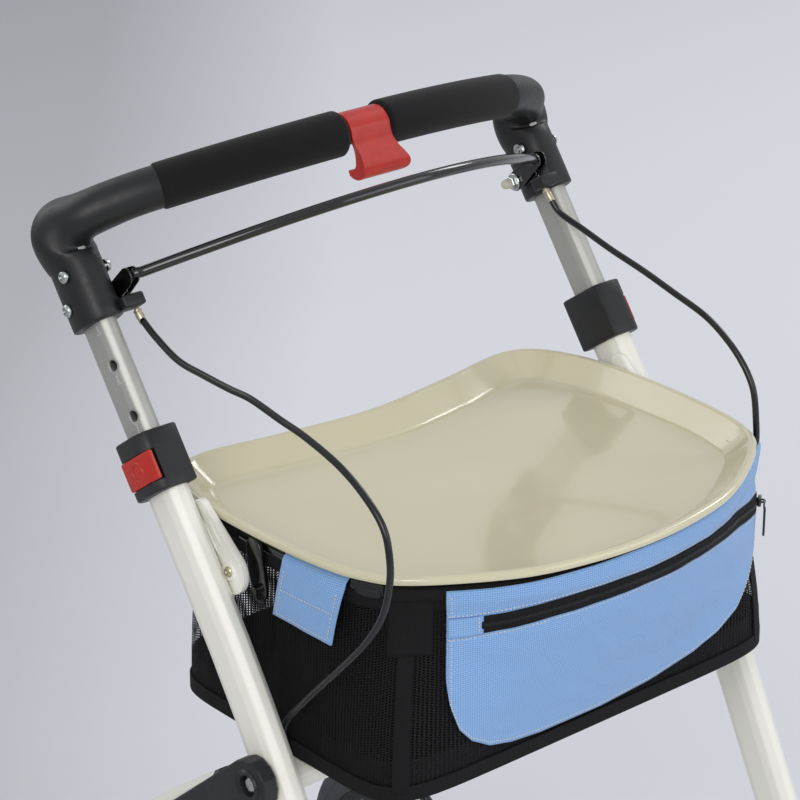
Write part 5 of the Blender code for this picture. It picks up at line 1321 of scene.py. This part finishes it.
class ROLLATOR_OT_brackets(bpy.types.Operator):
    """Makes the white basket brackets with their raised edges, ribs and screws"""

    bl_idname = "rollator.brackets"
    bl_label = "Basket brackets"

    def execute(self, context):
        near, far = BRACKET_X
        small, large = BRACKET_RADII
        top, low = (on_tube(1, 0, back, up)[1:] for back, up in (BRACKET_TOP, BRACKET_LOW))
        run = unit(low - top)
        aside = np.array((-run[1], run[0]))
        outline, rim = (capsule(top, low, small - inset, large - inset, 24) for inset in (0, 0.0009))
        for name, side in SIDES:
            outwards = np.array((side, 0, 0))
            rim_line = [(side * far, y, z) for y, z in (*rim, rim[0], rim[1])]
            pieces = [rod(f"bracket_rim_{name}", rim_line, 0.0009, "white_plastic", 8, 60),
                      side_plate(f"bracket_plate_{name}", outline, side * near, side * far,
                                 "white_plastic", 0.0012)]
            for index, (offset, first, last) in enumerate(BRACKET_RIBS):
                line = [(side * far, *(top + along * run + offset * aside))
                        for along in np.linspace(first, last, 6)]
                pieces.append(rod(f"bracket_rib_{name}_{index}", line, RIB_RADII, "white_plastic", 10))
            boss = np.array((side * far, *low))
            pieces.append(turned(f"bracket_boss_{name}", BOSS_FORM, boss, outwards, "white_plastic", 32))
            pieces.append(screw_head(f"bracket_screw_{name}", boss + 0.0005 * outwards, outwards, 0.0040,
                                     0.0020, "brass"))
            dress(joined(f"basket_bracket_piece_{name}", pieces), "frame", "white_plastic",
                  f"basket_bracket_{name}")
        return {"FINISHED"}


# Basket

CORNER_TURNS = (0.3550, 0.6480)         # front corners of the basket, from the middle of its back
HEM_TURNS = ((0.3360, 0.6640), (-0.22, 0.22))       # where cloth covers the wire, in front and at the back


def fabric_folds(turn, down):
    """How far the net stands in or out in its upright folds."""
    lengthwise = turn * 60
    folds = 0.0019 * wave(lengthwise, down * 0.9, 1.0) + 0.0010 * wave(lengthwise * 2.3, down * 1.6, 4.0)
    return folds * np.clip(np.sin(np.pi * np.clip(down, 0, 1)), 0, 1) ** 0.6


def basket_band(name, turns, downs, lift, thickness):
    """A strip of cloth sewn on the basket's wall, over a stretch of turns and depths."""
    turns, downs = turns[None, :], downs[:, None]
    band = basket_at(turns, downs, fabric_folds(*np.broadcast_arrays(turns, downs)) + lift)
    strip = sheet_mesh(name, band, (walked(band[0])[None, :], downs * BASKET_DEPTH), "binding", thickness)
    return dress(strip, "frame", "black_mesh")


class ROLLATOR_OT_basket(bpy.types.Operator):
    """Makes the net basket: wall with upright folds, bottom, hems and corner bindings"""

    bl_idname = "rollator.basket"
    bl_label = "Net basket"

    def execute(self, context):
        turn = np.linspace(0, 1, 481)[None, :]
        down = np.linspace(0, 1, 48)[:, None]
        wall = basket_at(turn, down, fabric_folds(*np.broadcast_arrays(turn, down)))
        girth = line_length(basket_at(np.linspace(0, 1, 400), 0.5, 0))
        side = sheet_mesh("basket_wall", wall, (turn * girth, down * BASKET_DEPTH), "black_mesh")
        dress(side, "frame", "black_mesh", "basket")
        shares = np.linspace(1, 0.02, 24)[:, None]
        middle = np.array((0, BASKET_CENTRE_Y, BASKET_BOTTOM))
        flat = middle + shares[..., None] * (basket_at(turn[0], 1.0, 0)[None] - middle)
        # the cross tube right under it keeps the bottom from sagging
        flat[..., 2] += 0.0006 * wave(flat[..., 0] * 25, flat[..., 1] * 25, 7.0) * (1 - shares)
        base = sheet_mesh("basket_bottom", flat, (flat[..., 0], flat[..., 1]), "binding")
        dress(base, "frame", "black_mesh")
        round_turns = np.linspace(0, 1, 361)
        hems = [
            basket_band("basket_top_hem", round_turns, np.linspace(-0.02, 0.055, 5), 0.0007, 0.0012),
            basket_band("basket_bottom_hem", round_turns, np.linspace(0.93, 1.01, 6), 0.0007, 0.0012),
            basket_band("basket_base_band", round_turns, np.linspace(0.80, 0.94, 5), -0.0009, 0.0006),
        ]
        for index, corner in enumerate(CORNER_TURNS):
            binding, patch = np.linspace(-0.0045, 0.0045, 9), np.linspace(-0.0150, 0.0120, 16)
            hems.append(basket_band(f"corner_binding_{index}", corner + binding, np.linspace(0.02, 0.97, 40),
                                    0.0010, 0.0010))
            hems.append(basket_band(f"corner_patch_{index}", corner + patch, np.linspace(-0.01, 0.27, 12),
                                    0.0018, 0.0010))
        for name, (first, last), count in zip(("basket_wire_hem", "basket_back_hem"), HEM_TURNS, (160, 140)):
            turns = np.linspace(first, last, count)
            ends = np.clip(np.minimum(turns - first, last - turns) / 0.004, 0, 1) ** 0.5
            sleeve = wire_sleeve(name, turns, 0.0048 + 0.0013 * ends, 24, "binding", 0.12)
            dress(sleeve, "frame", "black_mesh")
        return {"FINISHED"}


# Pocket outline on the basket: share round from the back, share of the depth where its lower edge runs
POCKET_LOW_EDGE = np.array((
    (0.346, 0.30), (0.358, 0.42), (0.368, 0.56), (0.378, 0.69), (0.392, 0.77), (0.410, 0.82),
    (0.450, 0.870), (0.500, 0.895), (0.561, 0.895), (0.585, 0.880), (0.600, 0.850), (0.611, 0.785),
    (0.618, 0.700), (0.623, 0.560), (0.6255, 0.400),
)).T
POCKET_TURNS = (0.346, 0.6255)
POCKET_OFF = 0.0032                     # the least that its cloth stands off the net
ZIP_LINE = np.array((
    (0.346, 0.185), (0.370, 0.160), (0.400, 0.125), (0.450, 0.100), (0.517, 0.095), (0.559, 0.110),
    (0.612, 0.140),
)).T
ZIP_TURNS = (0.3490, 0.6060)
ZIP_HALF = 0.045                        # half the tape's width, as a share of the depth
SEAM_IN = 0.0030                        # stitches from the pocket's edge


def beyond(value, limit, run):
    """How far a value lies below a limit, as a share of a run and 1 at most."""
    return np.clip((limit - value) / run, 0, 1)


def pocket_low(turn):
    return np.interp(turn, *POCKET_LOW_EDGE)


def pocket_top(turn):
    """The pocket's top edge, which stands up outside the tray at its right end."""
    raised = 0.060 + 0.030 * beyond(turn, 0.600, 0.1) + 0.065 * beyond(turn, 0.400, 0.05) ** 2
    rounded = 0.120 * beyond(turn, 0.3540, 0.008) ** 3
    return rounded - raised


def zip_down(turn):
    return np.interp(turn, *ZIP_LINE)


def pocket_off(turn, down):
    """How far the pocket's cloth stands off the net."""
    low, high = POCKET_TURNS
    along = np.clip((turn - low) / (high - low), 0, 1)
    depth = np.clip(down / pocket_low(turn), 0, 1)
    puff = np.sin(np.pi * along) ** 0.4 * np.sin(np.pi * depth) ** 0.8
    folds = (0.0032 * wave(turn * 34 + down * 5, down * 4 - turn * 12, 2.0)
             + 0.0010 * wave(turn * 90 + down * 9, down * 7, 5.0)) * puff
    corner = beyond(turn, 0.390, 0.044) * beyond(down, 0.35, 1) * 0.017
    rolled = beyond(down, pocket_top(turn) + 0.030, 0.030) ** 2 * 0.0010
    seam = 0.0007 * np.exp(-((down - zip_down(turn)) / (ZIP_HALF * 1.35)) ** 8)
    over_wire = 0.0034 * beyond(down, 0.060, 0.060)
    return POCKET_OFF + over_wire + 0.0065 * puff + folds + corner - rolled - seam


def pocket_at(turn, down, lift=0.0):
    turn, down = np.broadcast_arrays(np.asarray(turn, float), np.asarray(down, float))
    return basket_at(turn, down, pocket_off(turn, down) + lift)


def stitches(name, line):
    """A row of separate stitches along a line."""
    marks = even_line(np.asarray(line, float), sizes().stitch / 6)
    runs = [marks[first:first + 5] for first in range(0, len(marks) - 5, 6)]
    radii = (0.00014, 0.00033, 0.00039, 0.00033, 0.00014)
    return dress(many_rods(name, runs, radii, "thread"), "frame", "blue_cloth")


class ROLLATOR_OT_pocket(bpy.types.Operator):
    """Makes the woven front pocket with its end patch and stitching"""

    bl_idname = "rollator.pocket"
    bl_label = "Front pocket"

    def execute(self, context):
        low, high = POCKET_TURNS
        depth = BASKET_DEPTH
        turn = np.linspace(high, low, 260)[None, :]
        reach = pocket_low(turn) - pocket_top(turn)
        down = pocket_top(turn) + np.linspace(0, 1, 72)[:, None] * reach
        width = line_length(pocket_at(turn[0], 0.3))
        turn_per_metre = (high - low) / width
        panel = sheet_mesh("pocket_cloth", pocket_at(turn, down),
                           ((high - turn) / turn_per_metre, down * depth), "blue_cloth", 0.0012)
        dress(panel, "frame", "blue_cloth", "basket_pocket")
        zip_end = ZIP_TURNS[1]
        turns = np.linspace(high - 0.0008, zip_end - 0.0010, 14)[None, :]
        band = np.linspace(-ZIP_HALF * 1.1, ZIP_HALF * 1.1, 7)[:, None]
        patch = sheet_mesh("pocket_zip_patch", pocket_at(turns, zip_down(turns) + band, 0.0016),
                           ((high - turns) / turn_per_metre, band * depth), "blue_cloth", 0.0009)
        dress(patch, "frame", "blue_cloth")
        inwards, upwards = SEAM_IN * turn_per_metre, SEAM_IN / depth
        beside_zip = np.linspace(high - 0.0010, low + 0.004, 300)
        by_edge = np.linspace(high - inwards, low + inwards, 400)
        left = high - inwards * 1.2
        patch_end = zip_end + 0.0012
        for name, turns, downs, lift in (
                ("zip_stitch_over", beside_zip, zip_down(beside_zip) - 0.060, 0.0008),
                ("zip_stitch_under", beside_zip, zip_down(beside_zip) + 0.060, 0.0008),
                ("pocket_stitch_low", by_edge, pocket_low(by_edge) - upwards, 0.0008),
                ("pocket_stitch_left", left,
                 np.linspace(pocket_top(left) + 0.03, pocket_low(left) - upwards, 60), 0.0008),
                ("zip_patch_stitch", patch_end,
                 zip_down(patch_end) + np.linspace(-ZIP_HALF, ZIP_HALF, 20), 0.0022)):
            stitches(name, pocket_at(turns, downs, lift))
        return {"FINISHED"}


TOOTH_PITCH = 0.0016
TEETH_HALF = 0.0016
SLIDER_TURN = ZIP_TURNS[0] + 0.0035
# Along the zip and out
SLIDER_BRIDGE = ((-0.0034, 0.0010), (-0.0028, 0.0034), (0.0, 0.0042), (0.0028, 0.0034), (0.0034, 0.0010))


class ROLLATOR_OT_zip(bpy.types.Operator):
    """Makes the pocket's zip: tape, coil of teeth, slider and hanging pull"""

    bl_idname = "rollator.zip"
    bl_label = "Pocket zip"

    def execute(self, context):
        turns = np.linspace(*reversed(ZIP_TURNS), 200)[None, :]
        band = np.linspace(-ZIP_HALF, ZIP_HALF, 9)[:, None]
        grid = pocket_at(turns, zip_down(turns) + band, 0.0013 + 0.0005 * (1 - (band / ZIP_HALF) ** 2))
        width = line_length(grid[4])
        tape = sheet_mesh("zip_tape", grid, (np.linspace(0, width, 200)[None, :], band * BASKET_DEPTH),
                          "binding", 0.0007)
        dress(tape, "frame", "black_mesh")

        line = even_line(pocket_at(turns[0], zip_down(turns[0]), 0.0024), TOOTH_PITCH / 2)
        heading = unit(np.gradient(line, axis=0))
        down = unit(np.cross(heading, np.cross((0, 0, -1), heading)))
        teeth = []
        for index, (place, way) in enumerate(zip(line[2:-2], down[2:-2])):
            sign = 1 if index % 2 else -1
            start, end = place - sign * 0.0004 * way, place + sign * TEETH_HALF * way
            teeth.append([start + share * (end - start) for share in (0, 0.15, 0.85, 1)])
        teeth = many_rods("zip_teeth", teeth, (0.00015, 0.00042, 0.00042, 0.00015), "zip_coil")
        dress(teeth, "frame", "black_mesh")

        place, before = (pocket_at(turn, zip_down(turn), 0.0042)
                         for turn in (SLIDER_TURN, SLIDER_TURN + 0.004))
        upright = np.array((0, 0, 1))
        run = unit(before - place)
        out = unit(np.cross(run, upright))
        if out.dot(place - np.array((0, BASKET_CENTRE_Y, place[2]))) < 0:
            out = -out
        slider = round_block("slider", (0.0095, 0.0072, 0.0030), (0, 0, 0), 0, "black_paint", 0.0010)
        slider.data.transform(Matrix.Translation(place)
                              @ Matrix(np.stack([run, np.cross(out, run), out], 1)).to_4x4())
        bridge = [place + reach * run + lift * out for reach, lift in SLIDER_BRIDGE]
        top = place + 0.0036 * out
        loop = [top + 0.0028 * (math.sin(angle) * run + (math.cos(angle) - 1) * upright)
                for angle in np.linspace(-2.6, 2.6, 13)]
        pull = round_block("pull", (0.0048, 0.0018, 0.0230), (0, 0, 0), 0, "black_paint", 0.0008)
        pull.data.transform(Matrix.Translation(top - 0.0165 * upright + 0.0006 * out)
                            @ Matrix(np.stack([run, out, upright], 1)).to_4x4())
        pieces = [slider, rod("slider_bridge", bridge, 0.0008, "black_paint", 8),
                  rod("pull_ring", loop, 0.0006, "black_paint", 8), pull]
        dress(joined("zip_slider", pieces), "frame", "black_paint")
        return {"FINISHED"}


STRAP_TOP_Y = (-0.1340, -0.1920)          # on the wire, back and front edge
STRAP_LOW_Y = (-0.1240, -0.1870)
# Distance from the middle and height, from the strap's inner end over the wire to its outer end
STRAP_PATH = (
    (0.1800, 0.6900), (0.1792, 0.6980), (0.1806, 0.7055), (0.1845, 0.7093), (0.1888, 0.7088),
    (0.1925, 0.7052), (0.1940, 0.6990), (0.1946, 0.6900), (0.1952, 0.6750), (0.1958, 0.6600),
)
STRAP_HELD = 0.45                         # share of its length over which the wire shapes it


class ROLLATOR_OT_straps(bpy.types.Operator):
    """Makes the two woven straps that loop over the basket's wire"""

    bl_idname = "rollator.straps"
    bl_label = "Basket straps"

    def execute(self, context):
        path = even_line(smooth_line(STRAP_PATH, 5), 0.0014)
        length = line_length(path)
        down = np.linspace(0, length, len(path))[:, None]
        hung = np.clip((down / length - STRAP_HELD) / (1 - STRAP_HELD), 0, 1)
        share = np.linspace(0, 1, 44)[None, :]
        back_edge, front_edge = (top + hung * (low - top) for top, low in zip(STRAP_TOP_Y, STRAP_LOW_Y))
        y = back_edge + share * (front_edge - back_edge)
        breadth = STRAP_LOW_Y[0] - STRAP_LOW_Y[1]
        wire = wire_reach(y[0])
        follow = (1 - hung) * (wire - wire[:30].mean())[None, :]
        over, middle = (int(len(path) * part) for part in (0.50, 0.70))
        for name, side in SIDES:
            x = path[:, :1] + follow + 0.0009 * wave(y * 55, down * 60, 11.0 + side)
            grid = np.stack([side * x, y, np.broadcast_to(path[:, 1:], x.shape)], -1)
            strap = sheet_mesh(f"strap_{name}", grid, (share * breadth, down), "blue_cloth", 0.0012)
            dress(strap, "frame", "blue_cloth", f"basket_tab_{name}")
            for tag, line in (("front", grid[over:-2, 40]), ("back", grid[over:-2, 3]),
                              ("low", grid[-3, 3:41]), ("middle", grid[middle, 3:41])):
                stitches(f"strap_stitch_{tag}_{name}", line + (side * 0.0010, 0, 0))
        return {"FINISHED"}


# Wheels

# Half of a tyre's section: radius, and distance from its middle; two grooves run round the tread
TYRE_SECTION = (
    (0.0988, 0.0), (0.0988, 0.0008), (0.0999, 0.0012), (0.1000, 0.0034), (0.0999, 0.0040),
    (0.0986, 0.0044), (0.0986, 0.0054), (0.0996, 0.0058), (0.0991, 0.0076), (0.0976, 0.0096),
    (0.0950, 0.0111), (0.0910, 0.0119), (0.0860, 0.0120), (0.0855, 0.0116), (0.0790, 0.0116),
    (0.0785, 0.0120), (0.0745, 0.0118), (0.0722, 0.0108), (0.0715, 0.0090),
)


class ROLLATOR_OT_tyres(bpy.types.Operator):
    """Makes the four tyres with their grooved treads"""

    bl_idname = "rollator.tyres"
    bl_label = "Tyres"

    def execute(self, context):
        section = [*TYRE_SECTION, *((radius, -along) for radius, along in reversed(TYRE_SECTION))]
        for end, (x, y) in WHEEL_CENTRES.items():
            for name, side in SIDES:
                tyre = turned(f"tyre_{end}_{name}", section, (side * x, y, WHEEL_RADIUS), (1, 0, 0),
                              "tyre_rubber", 128)
                dress(tyre, f"{end}_roller_{name}", "tyre_rubber", f"{end}_tyre_{name}")
        return {"FINISHED"}


# Studio

CAMERA_AZIMUTH = math.radians(-40.908)
CAMERA_ELEVATION = math.radians(22.972)
CAMERA_PLACE = (-1.3421, -1.5811, 1.6055)
CAMERA_LENS, CAMERA_SENSOR = 135.0, 36
FLOOR_HALF, FLOOR_STEPS = 14.0, 12
PRODUCT_MIDDLE = (0, -0.05, 0.6)
FLOOR_POOL = (2.4, 2.2, 0)              # middle of the light that falls on the floor behind
# Each lamp: name, place, where it looks, size, power and colour
LAMPS = (
    ("key_light", (-2.3, -1.9, 2.3), PRODUCT_MIDDLE, 1.8, 44, (1.0, 0.985, 0.96)),
    ("fill_light", (1.3, -2.7, 1.5), PRODUCT_MIDDLE, 2.2, 20, (0.96, 0.98, 1.0)),
    ("back_light", (-0.6, 2.6, 2.6), PRODUCT_MIDDLE, 2.0, 20, (1.0, 1.0, 1.0)),
    ("floor_light", (4.0, 0.3, 3.6), FLOOR_POOL, 1.6, 60, (1.0, 1.0, 1.0)),
)
ROOM_TONE = "D6D7DC"
ROOM_LIGHT, ROOM_SHOWN = 0.66, 0.95     # strength of the room on the pieces, and where it is seen or mirrored


class ROLLATOR_OT_stage(bpy.types.Operator):
    """Sets up the floor, the light and the camera"""

    bl_idname = "rollator.stage"
    bl_label = "Studio"

    def execute(self, context):
        scene = context.scene
        marks = np.linspace(-FLOOR_HALF, FLOOR_HALF, FLOOR_STEPS)
        points = [(x, y, 0.0) for y in marks for x in marks]
        floor = piece("studio_floor", points, grid_faces(FLOOR_STEPS, FLOOR_STEPS, False), "floor")
        if floor.data.polygons[0].normal.z < 0:
            floor.data.flip_normals()

        camera = put("camera", bpy.data.cameras.new("camera"))
        camera.data.sensor_width = CAMERA_SENSOR
        camera.data.lens = CAMERA_LENS
        camera.data.clip_end = 100
        a, e = CAMERA_AZIMUTH, CAMERA_ELEVATION
        right = (math.cos(a), math.sin(a), 0)
        up = (-math.sin(a) * math.sin(e), math.cos(a) * math.sin(e), math.cos(e))
        back = (math.sin(a) * math.cos(e), -math.cos(a) * math.cos(e), math.sin(e))
        camera.matrix_world = Matrix([*zip(right, up, back, CAMERA_PLACE), (0, 0, 0, 1)])
        scene.camera = camera

        for name, place, target, size, power, tone in LAMPS:
            lamp = bpy.data.lights.new(name, "AREA")
            lamp.shape = "SQUARE"
            lamp.size = size
            lamp.energy = power
            lamp.color = tone
            item = put(name, lamp)
            item.location = place
            item.rotation_euler = (Vector(target) - Vector(place)).to_track_quat("-Z", "Y").to_euler()

        world = bpy.data.worlds.new("studio")
        scene.world = world
        world.use_nodes = True
        tree = world.node_tree
        tree.nodes.clear()
        rays = add_node(tree, "ShaderNodeLightPath").outputs
        shown = reckon("MAXIMUM", rays["Is Camera Ray"],
                       reckon("MAXIMUM", rays["Is Glossy Ray"], rays["Is Transmission Ray"]))
        tone = (*linear(ROOM_TONE), 1)
        soft, plain = (add_node(tree, "ShaderNodeBackground", {"Color": tone, "Strength": strength})
                       for strength in (ROOM_LIGHT, ROOM_SHOWN))
        either = add_node(tree, "ShaderNodeMixShader",
                          links={0: shown, 1: soft.outputs[0], 2: plain.outputs[0]})
        add_node(tree, "ShaderNodeOutputWorld", links={"Surface": either.outputs[0]})
        scene.view_settings.view_transform = "Standard"
        return {"FINISHED"}


OPERATORS = (
    ROLLATOR_OT_frame_finishes,
    ROLLATOR_OT_grip,
    ROLLATOR_OT_elbows,
    ROLLATOR_OT_bolts,
    ROLLATOR_OT_catch,
    ROLLATOR_OT_height_buttons,
    ROLLATOR_OT_numerals,
    ROLLATOR_OT_brake_bar,
    ROLLATOR_OT_brake_cables,
    ROLLATOR_OT_tray,
    ROLLATOR_OT_wire_frame,
    ROLLATOR_OT_brackets,
    ROLLATOR_OT_basket,
    ROLLATOR_OT_pocket,
    ROLLATOR_OT_zip,
    ROLLATOR_OT_straps,
    ROLLATOR_OT_tyres,
    ROLLATOR_OT_stage,
)


class ROLLATOR_PT_panel(bpy.types.Panel):
    """Sizes, colours and pieces of the rollator"""

    bl_label = "Rollator"
    bl_idname = "ROLLATOR_PT_panel"
    bl_space_type = "VIEW_3D"
    bl_region_type = "UI"
    bl_category = "Rollator"

    def draw(self, context):
        layout = self.layout
        for group in (context.scene.rollator_sizes, context.scene.rollator_colours):
            box = layout.box()
            for key in type(group).__annotations__:
                box.prop(group, key)
        for operator in OPERATORS:
            layout.operator(operator.bl_idname)


CLASSES = (RollatorColours, RollatorSizes, *OPERATORS, ROLLATOR_PT_panel)


def register():
    for entry in CLASSES:
        bpy.utils.register_class(entry)
    bpy.types.Scene.rollator_sizes = bpy.props.PointerProperty(type=RollatorSizes)
    bpy.types.Scene.rollator_colours = bpy.props.PointerProperty(type=RollatorColours)


def unregister():
    del bpy.types.Scene.rollator_sizes
    del bpy.types.Scene.rollator_colours
    for entry in reversed(CLASSES):
        bpy.utils.unregister_class(entry)


def main():
    register()
    for operator in OPERATORS:
        group, name = operator.bl_idname.split(".")
        getattr(getattr(bpy.ops, group), name)()


if __name__ == "__main__":
    main()
